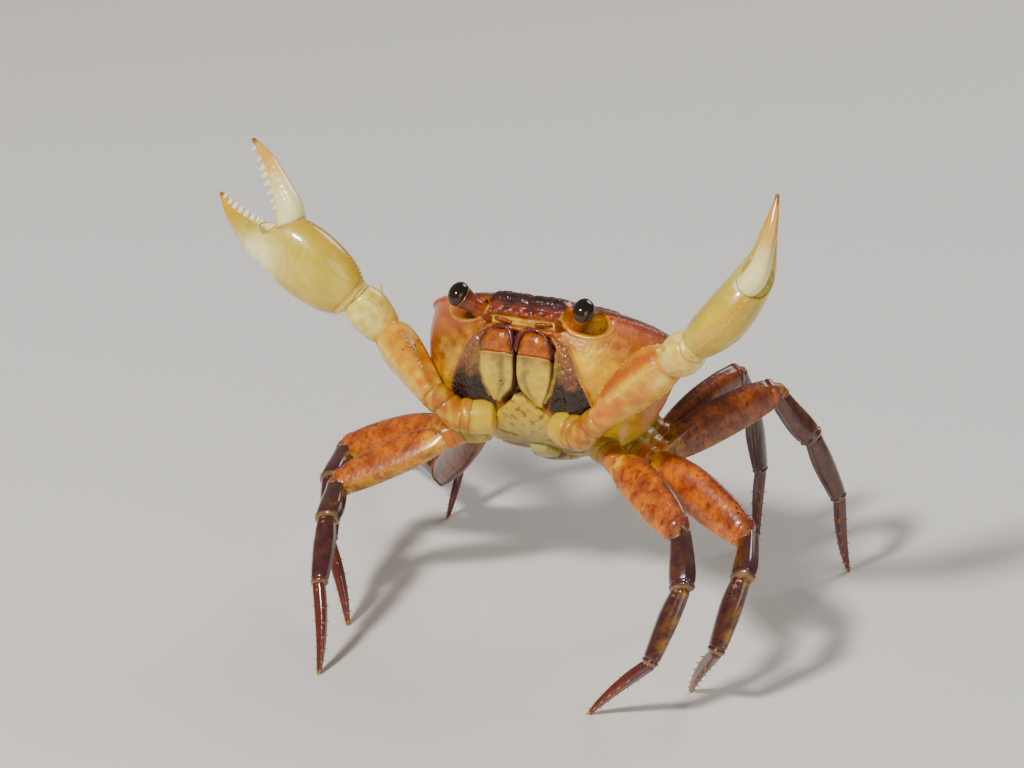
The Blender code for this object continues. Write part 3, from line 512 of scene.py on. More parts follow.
def rim_height(y):
    """Height of the shell's rim: level in front, then sinking with the square of the way to the rear."""
    return 0.3 - 3.3 * np.clip((y - WIDEST_Y) / (REAR_Y - WIDEST_Y), 0.0, 1.0) ** 2


def shell(x, angle):
    """Points of the smooth shell at x, by the angle from the rear over the top to the front and under:
    a superellipse, whose y and z are the cosine and sine to a power of two over its own."""
    front, rear, crown, above, below = shell_measures(x)
    along, lift = np.cos(angle), np.sin(angle)
    reach = np.where(along > 0, rear - crown, crown - front)
    height = np.where(lift > 0, above, below)
    power = np.where(lift > 0, 1.8, 2.2)
    y = crown + reach * np.sign(along) * np.abs(along) ** (2 / power)
    z = rim_height(y) + height * np.sign(lift) * np.abs(lift) ** (2 / power)
    return np.stack([x + 0 * y, y, z], -1)


def outward_of(x, angle):
    """Unit direction out of the smooth shell: the cross product of its two slopes."""
    step = 1e-3
    along_x = shell(x + step, angle) - shell(x - step, angle)
    along_angle = shell(x, angle + step) - shell(x, angle - step)
    outward = np.cross(along_angle, along_x)
    return outward / np.maximum(np.linalg.norm(outward, axis=-1), 1e-12)[..., None]


def front_y(x, z):
    """Place of the smooth face at a distance x and a height z below the rim."""
    front, _, crown, _, below = shell_measures(x)
    drop = np.clip((rim_height(FRONT_Y) - z) / below, 0.0, 0.999)
    return crown - (crown - front) * (1 - drop**2.2) ** (1 / 2.2)


def ridge_x(z):
    """How far out the side field's granulate ridge runs at a height z."""
    return np.interp(z, (-15.5, -14.0, -12.4, -11.0, -8.8, -6.1, -4.4),
                     (13.9, 13.7, 12.9, 11.9, 10.9, 9.1, 6.0))


def mouth_x(z):
    """Half-width of the mouth frame at a height z."""
    return np.interp(z, (-15.4, -13.5, -11.5, -9.0, -6.5, -5.0, -4.6),
                     (5.0, 6.4, 7.0, 7.2, 7.0, 5.6, 3.5))


def hollow_distance(x, z):
    """Distance from the middle of the eye hollow as a share of its half-axes."""
    middle_x, middle_z, half_x, half_z = EYE_HOLLOW
    return np.sqrt(((np.abs(x) - middle_x) / half_x) ** 2 + ((z - middle_z) / half_z) ** 2)


# %% Reliefs of the face
def face_fields(points, angle):
    """Masks of the face, each from 0 to 1, from a point's place in the body's frame."""
    x, y, z = points[..., 0], points[..., 1], points[..., 2]
    out = np.abs(x)
    turned_to_front = soft(angle, math.radians(95), math.radians(118))
    facing = turned_to_front * (1 - soft(angle, math.radians(262), math.radians(275)))
    away = hollow_distance(x, z)
    brow_low = -2.25 + 0.25 * bell(out, 3.6, 1.8) - 0.25 * bell(x, 0.0, 0.9)
    fields = {
        "brow": soft(z, brow_low - 0.25, brow_low + 0.15) * (1 - soft(z, 1.5, 2.6))
        * (1 - soft(out, 6.9, 8.0)),
        "band": soft(z, -3.8, -3.5) * (1 - soft(z, -2.5, -2.2)) * (1 - soft(out, 6.4, 7.6)),
        "lip": bell(z, -4.35 - 0.25 * bell(x, 0.0, 0.8), 0.33) * (1 - soft(out, 6.6, 7.8)),
        "crease": bell(z, -3.72, 0.16) * (1 - soft(out, 6.6, 7.8)) + 0.8 * bell(z, -2.42, 0.13)
        * (1 - soft(out, 7.0, 7.8)),
        "hollow": 1 - soft(away, 0.62, 1.0),
        "hollow rim": bell(away, 1.06, 0.06) * soft(-z, 0.2, 1.6),
        "pad": bell(z, 0.7, 0.9) * (1 - soft(out, 5.2, 7.6)) * (1 - 0.8 * bell(x, 0.3, 0.8)),
        "mouth": (1 - soft(out, mouth_x(z) - 0.4, mouth_x(z) + 0.1)) * (1 - soft(z, -4.9, -4.5))
        * soft(z, -16.2, -15.2),
        "field": soft(out, mouth_x(z), mouth_x(z) + 0.5) * (1 - soft(out, ridge_x(z) - 0.5, ridge_x(z)))
        * (1 - soft(z, -5.2, -4.2)) * soft(z, -17.4, -15.8),
        "ridge": bell(out, ridge_x(z), 0.32) * (1 - soft(z, -4.9, -4.2)) * soft(z, -16.5, -15.0),
        "margin": bell(z, rim_height(y) + 0.05, 0.55) * soft(out, 14.8, 16.0),
    }
    return {name: mask * facing for name, mask in fields.items()}


def carapace_grid(stations, angles):
    """The dressed shell: the smooth form, pushed along its outward direction by the sum of its reliefs.
    The back has the curved neck groove, the H-shaped groove and swollen gill fields."""
    x, angle = np.meshgrid(stations, angles, indexing="ij")
    base = shell(x, angle)
    outward = outward_of(x, angle)
    y, z, out = base[..., 1], base[..., 2], np.abs(x)
    face = face_fields(base, angle)
    lumps = ripple(base, 1.5, 3)
    fine = ripple(base, 0.75, 4)
    lift = 0.55 * face["brow"] * (1 + 0.10 * lumps + 0.03 * fine)
    lift += 0.45 * face["pad"] * (1 + 0.15 * fine) - 0.20 * face["brow"] * bell(z, -0.75, 0.3)
    lift += 0.28 * face["brow"] * bell(z, -1.85, 0.4) * np.sin(3.1 * x + 0.8 * lumps)
    lift -= 0.25 * face["band"] + 0.38 * face["crease"]
    lift += 0.5 * face["lip"] * (1 + 0.25 * lumps)
    lift += 0.30 * face["hollow rim"] - 1.9 * face["hollow"]
    lift -= 1.3 * face["mouth"] + face["field"] * (0.28 - 0.09 * fine - 0.05 * ripple(base, 0.45, 5))
    lift += 0.30 * face["ridge"] * (1 + 0.25 * fine) + 0.32 * face["margin"] * (1 + 0.2 * fine)
    lift -= 0.22 * bell(out, ridge_x(z) + 0.75, 0.35) * soft(-z, 4.8, 6.0) * (angle > 2.4) * (angle < 4.4)
    top = soft(np.sin(angle), 0.1, 0.35)
    neck = 1.2 + 0.04 * out - 0.052 * out**2
    lift -= top * 0.42 * bell(y, neck, 0.7) * soft(out, 2.6, 4.2) * (1 - soft(out, 13.0, 16.0))
    lift -= top * 0.30 * bell(out, 2.6 + 0.05 * (y - 5) ** 2, 0.45) * bell(y, 5.2, 3.2)
    lift -= top * 0.22 * bell(y, 5.0, 0.5) * (1 - soft(out, 2.0, 3.0))
    lift += top * 0.30 * bell(out, 13.0, 5.0) * bell(y, 5.0, 6.0)
    shoulder = top * 0.34 * bell(y, -10.9 + 0.03 * out**1.6, 0.9) * (1 - soft(out, 13.0, 16.0))
    lift += shoulder * (1 - bell(x, 0.0, 0.8))
    lift -= top * 0.28 * bell(x, 0.0, 0.45) * bell(y, -11.0, 2.2)
    lift += top * 0.035 * fine + 0.02 * lumps
    under = (angle > math.radians(228)) & (angle < math.radians(322))
    lift -= 0.9 * under * (1 - soft(out, 8.0, 9.4))
    points = base + outward * lift[..., None]
    return points, angle, face


def carapace_paint(points, angle, face):
    """Colours of the shell: orange cheeks that go yellow inwards, with the crab's right side painted duller
    and less yellow as painted shade, a red margin, a maroon brow and back, eye hollows painted dark red on
    their inner part and over the right one as painted shadow, a brown side field that is nearly black at
    its foot, and pale undersides."""
    x, y, z = points[..., 0], points[..., 1], points[..., 2]
    out = np.abs(x)
    wide, lumps, fine = ripple(points, 7.0, 11), ripple(points, 2.2, 12), ripple(points, 0.7, 13)
    # left runs from 0 on the crab's right to 1 on its left. Below, the right side's duller orange, its
    # weaker yellow and its darker outer cheek are painted shade.
    left = soft(x, -2.0, 2.0)
    paint = ORANGE * (0.44 + 0.50 * left)[..., None]
    glow = bell(out, 13.4, 4.6) * bell(z, -7.4 - 1.6 * (1 - left), 4.2) * (0.26 + 0.94 * left)
    paint = mix(paint, YELLOW, glow + 0.15 * wide + 0.16 * lumps + 0.06 * fine)
    paint = mix(paint, DEEP_ORANGE, (0.5 - 0.25 * glow)
                * soft(ripple(points, 3.4, 14) + 0.4 * fine, 0.0, 0.8))
    paint = mix(paint, YELLOW * 0.8, 0.70 * bell(out, ridge_x(z) + 1.6, 1.6) * soft(-z, 8.0, 11.5))
    paint = mix(paint, DEEP_ORANGE, soft(out, 15.0, 22.0) * 0.6 * (1 - 0.5 * left))
    paint = mix(paint, PINK, 0.8 * soft(z - rim_height(y), -3.4, -0.8) * soft(out, 13.6, 15.5))
    paint = mix(paint, PINK, 0.45 * (1 - left) * soft(z, -7.0, -3.5) * soft(out, 9.0, 12.0))
    back = soft(z - rim_height(y), 0.15, 0.7) * soft(np.sin(angle), 0.02, 0.15)
    paint = mix(paint, mix(RED * 0.55, DEEP_ORANGE * 0.7, 0.5 + 0.5 * wide), back)
    paint = mix(paint, MAROON, 0.75 * back * soft(-y, 5.0, 12.5) * (0.75 + 0.25 * lumps))
    low = soft(angle, math.radians(236), math.radians(262))
    paint = mix(paint, PALE, 0.8 * low * (1 - soft(out, 16.0, 22.0)))
    paint = mix(paint, RED * 0.8, face["margin"] * 0.9)
    paint = mix(paint, YELLOW * 0.9, face["band"] * (0.85 + 0.15 * lumps))
    paint = mix(paint, mix(RED * 0.85, MAROON * 1.2, 0.5 + 0.5 * lumps), face["brow"])
    paint = mix(paint, ORANGE * 0.9, 0.55 * face["brow"] * bell(z, -2.0, 0.35)
                * (0.5 + 0.5 * np.sin(3.1 * x)))
    paint = mix(paint, MAROON * 0.7, face["brow"] * soft(z, -0.9, 0.0) * (0.8 + 0.2 * lumps))
    paint = mix(paint, BLACK * 1.5, face["pad"] * (0.85 + 0.15 * fine))
    paint = mix(paint, RED * 0.7, 0.8 * bell(z, -3.05 + 0.1 * lumps, 0.13) * (1 - soft(out, 3.6, 5.0))
                * face["band"])
    paint = mix(paint, mix(RED, ORANGE, 0.5 + 0.5 * lumps), face["lip"] * 0.8)
    paint = mix(paint, MAROON * 1.5, face["crease"] * 0.85)
    # Painted shadow in the eye hollows: dark red on the inner part around the stalk and over nearly all of
    # the right hollow, with yellow only on the outer part of the left one.
    hollow_painted_light = 0.10 + 0.90 * soft(out, 9.6, 12.6) * (0.10 + 0.90 * left)
    paint = mix(paint, mix(RED * 0.8, YELLOW * 1.25, hollow_painted_light), face["hollow"])
    paint = mix(paint, YELLOW * 0.95, 0.5 * face["hollow rim"])
    paint = mix(paint, RED * 0.8, 0.7 * bell(hollow_distance(x, z), 1.22, 0.07) * soft(-z, 0.8, 2.0)
                * (1 - soft(out, 9.0, 12.0)))
    paint = mix(paint, BROWN * (1.2 + 0.3 * fine)[..., None], face["field"])
    paint = mix(paint, mix(PINK * 0.55, ORANGE * 0.75, left), 0.85 * face["field"] * soft(z, -9.8, -5.0))
    paint = mix(paint, HUSK * 0.6, face["field"] * bell(out, mouth_x(z) + 0.9, 1.0) * bell(z, -9.6, 2.0)
                * 0.35)
    paint = mix(paint, BLACK, face["field"] * soft(-z + 0.8 * lumps + 0.5 * fine, 10.4, 12.6) * 0.97)
    paint = mix(paint, PINK * 0.6, face["ridge"] * (1 - soft(-z, 9.0, 14.0)) * 0.75)
    paint = mix(paint, BROWN, face["mouth"] * 0.9)
    return paint * (1 + 0.05 * fine + 0.05 * lumps)[..., None]


spread = np.linspace(-math.pi / 2, math.pi / 2, 268)[1:-1]
stations = HALF_WIDTH * (0.35 * np.sin(spread) + 0.65 * spread / (math.pi / 2))
angles = np.radians(np.concatenate([np.linspace(0, 148, 72, endpoint=False),
                                    np.linspace(148, 240, 140, endpoint=False),
                                    np.linspace(240, 360, 56, endpoint=False)]))
points, angle, face = carapace_grid(stations, angles)
ends = [(-HALF_WIDTH, WIDEST_Y, 0.3), (HALF_WIDTH, WIDEST_Y, 0.3)]
carapace_skin = skin(points, carapace_paint(points, angle, face), *ends)
piece("carapace_shell", [carapace_skin], SHELL, ["carapace"], BODY)


# %% [markdown]
# ## Granules and margin teeth
# Rows of small pointed granules edge the shell behind each eye, and finer ones run along the side
# field's ridge and over the field itself. Hundreds of tiny domes go into one mesh, a few dozen faces
# each. Scattered copies would be quicker to set up, but here each dome sits exactly on its ridge.


# %% Granules of the shell
def on_shell(x, z, lift=0.0):
    """Places and outward directions on the face at x and z."""
    x, z = np.asarray(x, float), np.asarray(z, float)
    drop = np.clip((rim_height(FRONT_Y) - z) / shell_measures(x)[4], 0.0, 0.999)
    angle = math.pi + np.arcsin(drop ** (2.2 / 2))
    outward = outward_of(x, angle)
    return shell(x, angle) + outward * lift, outward


def shell_granules():
    """Margin teeth behind the eyes, granules on the ridge, and a scatter of fine ones on the field."""
    draw = np.random.default_rng(21)
    skins = []
    for sign in (-1.0, 1.0):
        x = np.linspace(14.9, HALF_WIDTH - 0.5, 46)
        front = shell_measures(x)[0]
        root = np.stack([sign * x, front + 0.1, rim_height(front) + 0.1], -1)
        outward = np.stack([sign * x / HALF_WIDTH, -np.sqrt(1 - (x / HALF_WIDTH) ** 2) - 0.3, 0.15 + 0
                            * x], -1)
        size = 0.26 + 0.12 * (np.arange(46) % 3 == 0) + 0.04 * draw.random(46)
        skins.append(studs(root + outward * 0.25, outward, size, size * 1.7, RED, PINK * 1.4, sharp=1.2))
        z = np.linspace(-4.8, -15.6, 46)
        place, outward = on_shell(sign * (ridge_x(z) + 0.10 * draw.normal(size=46)), z, 0.22)
        skins.append(studs(place, outward, draw.uniform(0.09, 0.16, 46), 0.20, PINK * 0.8, TAN * 1.5,
                           sharp=0.5))
        place, outward = on_shell(sign * draw.uniform(0.9, 7.0, 150), draw.uniform(0.0, 1.6, 150), 0.85)
        skins.append(studs(place, outward, draw.uniform(0.09, 0.17, 150), 0.15, BLACK, MAROON, sharp=0.5,
                           sides=5))
        z = draw.uniform(-15.2, -5.2, 420)
        share = draw.random(420)
        x = mouth_x(z) + 0.5 + share * (ridge_x(z) - mouth_x(z) - 0.9)
        keep = ridge_x(z) - mouth_x(z) > 1.2
        place, outward = on_shell(sign * x[keep], z[keep], -0.27)
        size = draw.uniform(0.05, 0.11, keep.sum())
        dark = soft(-z[keep], 10.5, 13.0)[:, None, None]
        skins.append(studs(place, outward, size, size * 1.1, BROWN * (1.3 - 0.9 * dark), TAN
                           * (0.8 - 0.5 * dark), sharp=0.5,
                           sides=5))
    return skins


piece("carapace_granules", shell_granules(), SHELL, (), BODY)


# %% [markdown]
# ## Limbs as tubes
# Every limb segment is a closed tube along its own axis: an oval, slightly squared section that swells
# and narrows, with rounded ends. Keels, grooves and pits are added as an outward push that depends on
# how far along and how far round a point is. A curve with a bevel would give round limbs only.


# %% Tubes
FINE_ROWS = 60  # samples along a tube where studs are set on it


def level_frame(tangents):
    """Two directions square to each tangent: one level, across it, and one upward, their cross product."""
    across = np.cross((0.0, 0.0, 1.0), tangents)
    across /= np.linalg.norm(across, axis=1)[:, None]
    return across, np.cross(tangents, across)


def oval(turn, power):
    """A superellipse of half-axes 1: the cosine and sine of the turn to the power 2/power."""
    wide = np.sign(np.cos(turn)) * np.abs(np.cos(turn)) ** (2 / power)
    high = np.sign(np.sin(turn)) * np.abs(np.sin(turn)) ** (2 / power)
    return wide, high


def tube(rows, count, sides, power=2.3, start_cap=1.0, end_cap=1.0, push=None, cap_rings=5):
    """Rings along rows of x, y, z, height and width. Each ring is a superellipse square to the path: its
    two half-axes times the cosine and sine to the power 2/power. The ends close as quarter-ellipses:
    size sqrt(1 - t^2) at a distance t of the cap's length. Returns rings, share along and turn."""
    rows = smooth_rows(rows, count)
    tangents = np.gradient(rows[:, :3], axis=0)
    tangents /= np.linalg.norm(tangents, axis=1)[:, None]
    across, upward = level_frame(tangents)
    t = np.sin(np.linspace(0, math.pi / 2, cap_rings + 2)[1:-1])
    size = np.concatenate([np.sqrt(1 - t[::-1] ** 2), np.ones(count), np.sqrt(1 - t**2)])
    slide = np.concatenate([-t[::-1] * start_cap, np.zeros(count), t * end_cap])
    pick = np.concatenate([np.zeros(cap_rings, int), np.arange(count), np.full(cap_rings, count - 1)])
    turn = np.linspace(0.0, 2 * math.pi, sides, endpoint=False)
    wide, high = oval(turn, power)
    rows, tangents, across, upward = rows[pick], tangents[pick], across[pick], upward[pick]
    along = np.broadcast_to(np.linspace(0, 1, count)[pick][:, None], (len(pick), sides))
    around = np.broadcast_to(turn[None], along.shape)
    sideways = across[:, None] * (rows[:, 4:5] / 2 * wide)[..., None]
    flat = sideways + upward[:, None] * (rows[:, 3:4] / 2 * high)[..., None]
    if push is not None:
        reach = np.linalg.norm(flat, axis=-1, keepdims=True)
        flat = flat * (1 + push(along, around)[..., None] / np.maximum(reach, 0.2))
    rings = rows[:, None, :3] + tangents[:, None] * slide[:, None, None] + flat * size[:, None, None]
    start = rows[0, :3] - tangents[0] * start_cap
    end = rows[-1, :3] + tangents[-1] * end_cap
    return rings, along, around, start, end


def keel(turn, at, width):
    """A bell round a line along the tube, at an angle in degrees."""
    gap = np.angle(np.exp(1j * (turn - math.radians(at))))
    return np.exp(-((gap / math.radians(width)) ** 2))


def tube_skin(rows, count, sides, colour, **shape):
    """A painted tube. colour is a function of the rings' points, the share along and the turn."""
    rings, along, turn, start, end = tube(rows, count, sides, **shape)
    return skin(rings, colour(rings, along, turn), start, end)


def row_of_studs(rows, turn, spots, radius, height, root, tip, power=2.3, lean=(0.0, 0.0, 0.0), sharp=1.2,
                 inset=0.1, sides=6):
    """Studs along a tube at one angle in degrees, given their shares along it."""
    rows = smooth_rows(rows, FINE_ROWS)
    last = FINE_ROWS - 1
    at = np.asarray(spots) * last

    def sampled(spot, columns):
        numbers = np.arange(FINE_ROWS)
        return np.stack([np.interp(spot, numbers, rows[:, column]) for column in range(columns)], -1)

    table = sampled(at, 5)
    step = sampled(np.minimum(at + 1, last), 3) - sampled(np.maximum(at - 1, 0), 3)
    along = step / np.linalg.norm(step, axis=1)[:, None]
    across, upward = level_frame(along)
    turn = math.radians(turn)
    wide, high = oval(turn, power)
    place = table[:, :3] + across * table[:, 4:5] / 2 * wide + upward * table[:, 3:4] / 2 * high
    outward = across * math.cos(turn) + upward * math.sin(turn)
    lean = along * lean[0] + across * lean[1] + upward * lean[2]
    return studs(place - outward * inset, outward, radius, height, root, tip, lean=lean, sharp=sharp,
                 sides=sides)


def limb_frame(start, end, up):
    """Frame of a segment: x from its start to its end, z on the side that up points to."""
    along = (end - start).normalized()
    across = up.cross(along).normalized()
    turn = Matrix((along, across, along.cross(across))).transposed().to_4x4()
    return Matrix.Translation(start) @ turn


# %% [markdown]
# ## The eyes
# Each eye is a dark glossy dome on a movable stalk. The stalk has a thick shining root beside the brow,
# a waist, and a swelling that holds the dome. A pale thin collar runs round the dome's foot. A stock
# sphere would do for the dome; rings of an ellipsoid let it be taller than it is deep and carry paint.

# %% Eyes
EYE_CENTRE, EYE_ROOT = (12.1, -17.8, -0.6), (8.6, -12.6, -1.8)
CORNEA_RADII = np.array((1.85, 2.25, 1.7))  # across, up and along the stalk


def upright(points):
    """A tube that was drawn along x, stood up along z."""
    return placed(points, Matrix.Rotation(-math.pi / 2, 4, "Y"))


def stalk_paint(points, along, turn):
    """Orange-brown, darker at the root and under the dome."""
    lumps = ripple(points, 1.3, 31)
    paint = mix(DEEP_ORANGE * 0.7, RED * 0.6, 0.5 + 0.5 * lumps)
    paint = mix(paint, ORANGE, 0.7 * bell(along, 0.18, 0.22))
    return mix(paint, MAROON * 1.3, soft(along, 0.65, 1.0) * 0.8)


def cornea_dome():
    """An ellipsoid, taller than it is deep: its three radii times sine and cosine of two angles."""
    tilt = np.linspace(0, math.pi, 46)[1:-1]
    turn = np.linspace(0, 2 * math.pi, 56, endpoint=False)
    tilt, turn = np.meshgrid(tilt, turn, indexing="ij")
    ball = np.stack([np.sin(tilt) * np.cos(turn), np.sin(tilt) * np.sin(turn), -np.cos(tilt)], -1)
    rings = ball * CORNEA_RADII
    low = soft(-ball[..., 1], -0.2, 0.9)
    paint = mix(BLACK, np.array((0.030, 0.012, 0.004)), low)
    return skin(rings, paint, (0, 0, -CORNEA_RADII[2]), (0, 0, CORNEA_RADII[2]))


def ring_collar(across, up, height, thick):
    """A closed oval ring round z: a small circle carried round an ellipse."""
    turn = np.linspace(0, 2 * math.pi, 48, endpoint=False)
    small = np.linspace(0, 2 * math.pi, 8, endpoint=False)
    turn, small = np.meshgrid(turn, small, indexing="ij")
    x, y = (across + thick * np.cos(small)) * np.cos(turn), (up + thick * np.cos(small)) * np.sin(turn)
    return np.stack([x, y, height + thick * np.sin(small)], -1)


def ring_skin(points, paint):
    """A skin over a grid that closes in both directions, turned outwards by its signed volume."""
    count, sides = points.shape[:2]
    here = np.arange(count * sides).reshape(count, sides)
    there, on = np.roll(here, -1, axis=1), np.roll(here, -1, axis=0)
    quads = np.stack([here, there, np.roll(on, -1, axis=1), on], -1).reshape(-1, 4)
    verts = points.reshape(-1, 3)
    a, b, c, d = (verts[quads[:, corner]] - verts.mean(0) for corner in range(4))
    half = np.einsum("ij,ij->i", a, np.cross(b, c)).sum()
    if half + np.einsum("ij,ij->i", a, np.cross(c, d)).sum() < 0:
        quads = quads[:, ::-1]
    return verts, np.zeros((0, 3), int), quads, np.broadcast_to(paint, points.shape).reshape(-1, 3)


for side in SIDES:
    centre, root = mirrored(EYE_CENTRE, side), mirrored(EYE_ROOT, side)
    length = (centre - root).length
    place = BODY @ Matrix.Translation(centre) @ (centre - root).to_track_quat("Z",
                                                                              "Y").to_matrix().to_4x4()
    rows = [(-length, 0, 0, 3.2, 3.2), (-0.8 * length, 0, 0, 3.1, 3.1), (-0.6 * length, 0, 0, 2.9, 3.0),
            (-0.38 * length, 0, 0, 3.0, 3.3), (-0.75, 0, 0, 3.3, 4.05)]
    made = tube_skin(rows, 40, 36, stalk_paint, power=2.0, start_cap=0.6, end_cap=0.5,
                     push=lambda along, turn: 0.05 * np.sin(9 * along + 2 * turn))
    made = (upright(made[0]), *made[1:])
    piece(f"eyestalk_{side}_skin", [made], STALK, [f"eyestalk_{side}"], place)
    collar = ring_skin(ring_collar(1.66, 2.02, -0.72, 0.10), AMBER * 0.4)
    piece(f"cornea_{side}_dome", [cornea_dome()], CORNEA, [f"cornea_{side}"], place)
    piece(f"cornea_{side}_collar", [collar], STALK, (), place)

# %% [markdown]
# ## Feelers
# A freshwater crab's feelers are short. The outer pair springs from beside the eye hollow, and the inner
# pair lies folded in the two pits under the brow. They could be bevelled curves; as tubes they taper and
# swell from joint to joint.


# %% Feelers
def feeler_paint(points, along, turn):
    """Orange with dark rings."""
    rings = 0.5 + 0.5 * np.sin(along * 70)
    return mix(ORANGE * 0.7, RED * 0.6, 0.3 + rings * 0.5)


for side in SIDES:
    sign = sign_of(side)
    outer = [(6.7, -13.8, -3.0, 1.7, 1.6), (6.9, -15.2, -3.2, 1.3, 1.2), (7.2, -16.4, -3.3, 0.7, 0.7),
             (7.6, -17.6, -3.2, 0.42, 0.42), (8.0, -18.8, -2.9, 0.24, 0.24)]
    inner = [(2.4, -14.9, -3.3, 0.6, 0.6), (3.2, -15.3, -3.25, 0.8, 0.8), (4.4, -15.4, -3.15, 0.7, 0.7),
             (5.4, -15.2, -2.95, 0.5, 0.5), (4.8, -15.6, -3.0, 0.3, 0.3)]
    skins = []
    for path, wave in ((outer, 0.06), (inner, 0.05)):
        path = [(sign * x, *rest) for x, *rest in path]
        skins.append(tube_skin(path, 46, 14, feeler_paint, power=2.0, start_cap=0.2, end_cap=0.3,
                               push=lambda along, turn, wave=wave: wave * np.sin(along * 70)))
    piece(f"feelers_{side}", skins, MOUTH, (), BODY)

# %% [markdown]
# ## Mouth plates
# The outer pair of mouthparts closes the mouth like two doors. Each has a long lower plate, a shorter
# rounded shield above it, a slim strip along its outer edge, and a jointed palp that bends over the
# shield's top towards the middle. They could be cut into the shell's face, but as plates of their own
# they stand off it with a crisp rounded edge: a front and a back face joined all round.

# %% Mouth plates
SEAM_LEVEL = 0.37


def plate_rings(front, back):
    """Rings of a plate: each level's front points, then its back points in the other direction."""
    return np.concatenate([front, back[:, ::-1]], 1)


def mouth_plate(side):
    """One outer mouth plate from its inner and outer edge, as a dome over the smooth face, with a seam
    between its two parts and a shallow groove down the lower one."""
    levels = np.linspace(0.0, 1.0, 96)
    outer_edge = smooth_rows([[4.6], [6.5], [6.8], [6.9], [6.7], [6.0], [4.8]], 96)[:, 0]
    inner_edge = smooth_rows([[1.4], [0.3], [0.3], [0.3], [0.35], [1.0], [3.4]], 96)[:, 0]
    outer_edge = outer_edge - 0.35 * bell(levels, SEAM_LEVEL, 0.02)
    across = 0.5 - 0.5 * np.cos(np.linspace(0.0, math.pi, 40))
    x = inner_edge[:, None] + (outer_edge - inner_edge)[:, None] * across[None, :]
    level = np.broadcast_to(levels[:, None], x.shape)
    share = np.broadcast_to(across[None], x.shape)
    seam = level - SEAM_LEVEL - 0.012 * np.sin(share * math.pi)
    z = -4.9 - 10.4 * level
    edge = np.minimum(np.minimum(share, 1 - share) / 0.3, np.minimum(level, 1 - level) / 0.1)
    rounding = np.clip(edge, 0.0, 1.0) ** 0.5
    thick = np.interp(level, (0.0, 0.4, 1.0), (1.9, 1.8, 0.9))
    merus = 1 - soft(seam, -0.01, 0.01)
    relief = 0.30 * merus * bell(share, 0.5, 0.3) * bell(level, 0.19, 0.12) - 0.50 * bell(seam, 0.0,
                                                                                          0.011)
    groove = 0.24 * (1 - merus) * bell(share, 0.30, 0.06) * soft(level, 0.42, 0.5)
    relief -= groove * (1 - soft(level, 0.85, 0.95))
    relief -= 0.05 * merus * soft(ripple(np.stack([x, level * 10, share], -1), 0.5, 44), 0.3, 0.9)
    relief += 0.16 * bell(seam, 0.022, 0.012) + 0.12 * merus * bell(share, 0.93, 0.04)
    face = front_y(x, z)
    out = face - (thick + relief) * (0.4 + 0.6 * rounding)
    back = face + 0.8
    sign = sign_of(side)
    rings = plate_rings(np.stack([sign * x, out, z], -1), np.stack([sign * x, back, z], -1))
    level, share, seam, merus = (np.concatenate([a, a[:, ::-1]], 1) for a in (level, share, seam, merus))
    lumps, fine = ripple(rings, 1.6, 41), ripple(rings, 0.6, 42)
    lower = mix(PALE * 0.85, OLIVE * 0.9, 0.12 + 0.25 * lumps + 0.85 * bell(share, 0.30, 0.12))
    lower = mix(lower, YELLOW, 0.35 * soft(share, 0.55, 0.8) + 0.3 * soft(level, 0.8, 1.0))
    lower = mix(lower, BROWN * 1.2, 0.8 * (1 - soft(level + 0.04 * lumps, SEAM_LEVEL, SEAM_LEVEL + 0.20)))
    upper = mix(DEEP_ORANGE * 0.75, ORANGE * 0.8, 0.40 + 0.5 * lumps + 0.2 * fine)
    upper = mix(upper, RED * 0.7, 0.7 * soft(np.abs(share - 0.5), 0.30, 0.5) + 0.8
                * (1 - soft(level, 0.0, 0.10)))
    paint = mix(lower, upper, merus)
    paint = mix(paint, MAROON * 1.3, 0.9 * bell(seam, 0.0, 0.009))
    paint = mix(paint, YELLOW * 1.1, 0.8 * bell(seam, 0.02, 0.010))
    paint = mix(paint, BROWN * 0.45, 0.85 * (1 - soft(share, 0.0, 0.05)) + 0.7 * soft(share, 0.94, 1.0))
    return skin(rings, paint * (1 + 0.06 * fine)[..., None])


def strip_paint(points, along, turn):
    """Pale olive with a brown foot."""
    return mix(OLIVE * 1.2, BROWN * 0.8, 0.5 + 0.5 * ripple(points, 1.5, 43))


def palp_paint(points, along, turn):
    """Dark maroon with reddish joints."""
    return mix(MAROON * 1.5, RED, 0.8 * bell(np.sin(along * 3 * math.pi), 0, 0.25))


for side in SIDES:
    sign = sign_of(side)
    route = [(6.75, -8.3), (6.45, -6.9), (5.5, -5.5), (4.0, -4.75), (2.4, -4.7), (1.15, -5.4),
             (0.6, -6.8), (0.55, -8.3)]
    thick = (0.25, 0.34, 0.38, 0.46, 0.62, 0.82, 0.85, 0.5)
    palp = [(x, float(front_y(x, z)) - 1.55 - 0.25 * (x < 5), z, wide, wide) for (x, z),
            wide in zip(route, thick)]
    strip = [(5.6, -13.7, -6.4, 0.8, 0.8), (7.15, -13.1, -8.2, 0.9, 1.0), (7.15, -12.2, -10.4, 0.9, 1.0),
             (6.5, -10.6, -12.8, 0.9, 1.0), (5.4, -9.4, -14.6, 0.7, 0.8)]
    skins = [mouth_plate(side)]
    skins.append(tube_skin([(sign * x, *rest) for x, *rest in strip], 50, 16, strip_paint, power=2.2,
                           start_cap=0.3, end_cap=0.4))
    skins.append(tube_skin([(sign * x, *rest) for x, *rest in palp], 80, 16, palp_paint, power=2.0,
                           start_cap=0.3, end_cap=0.3,
                           push=lambda along, turn: -0.12 * bell(np.sin(along * 3 * math.pi), 0, 0.12)))
    piece(f"maxilliped_{side}_plates", skins, MOUTH, [f"maxilliped_{side}"], BODY)

# %% [markdown]
# ## Breastplate and abdomen
# The breastplate between the legs is a row of fused plates with thin dark sutures. The abdomen is a
# narrow tail of seven rings folded forwards under it, which ends in a rounded triangle, the telson. The
# sutures could be painted alone; they are sunk as well, so that they hold at a low light.


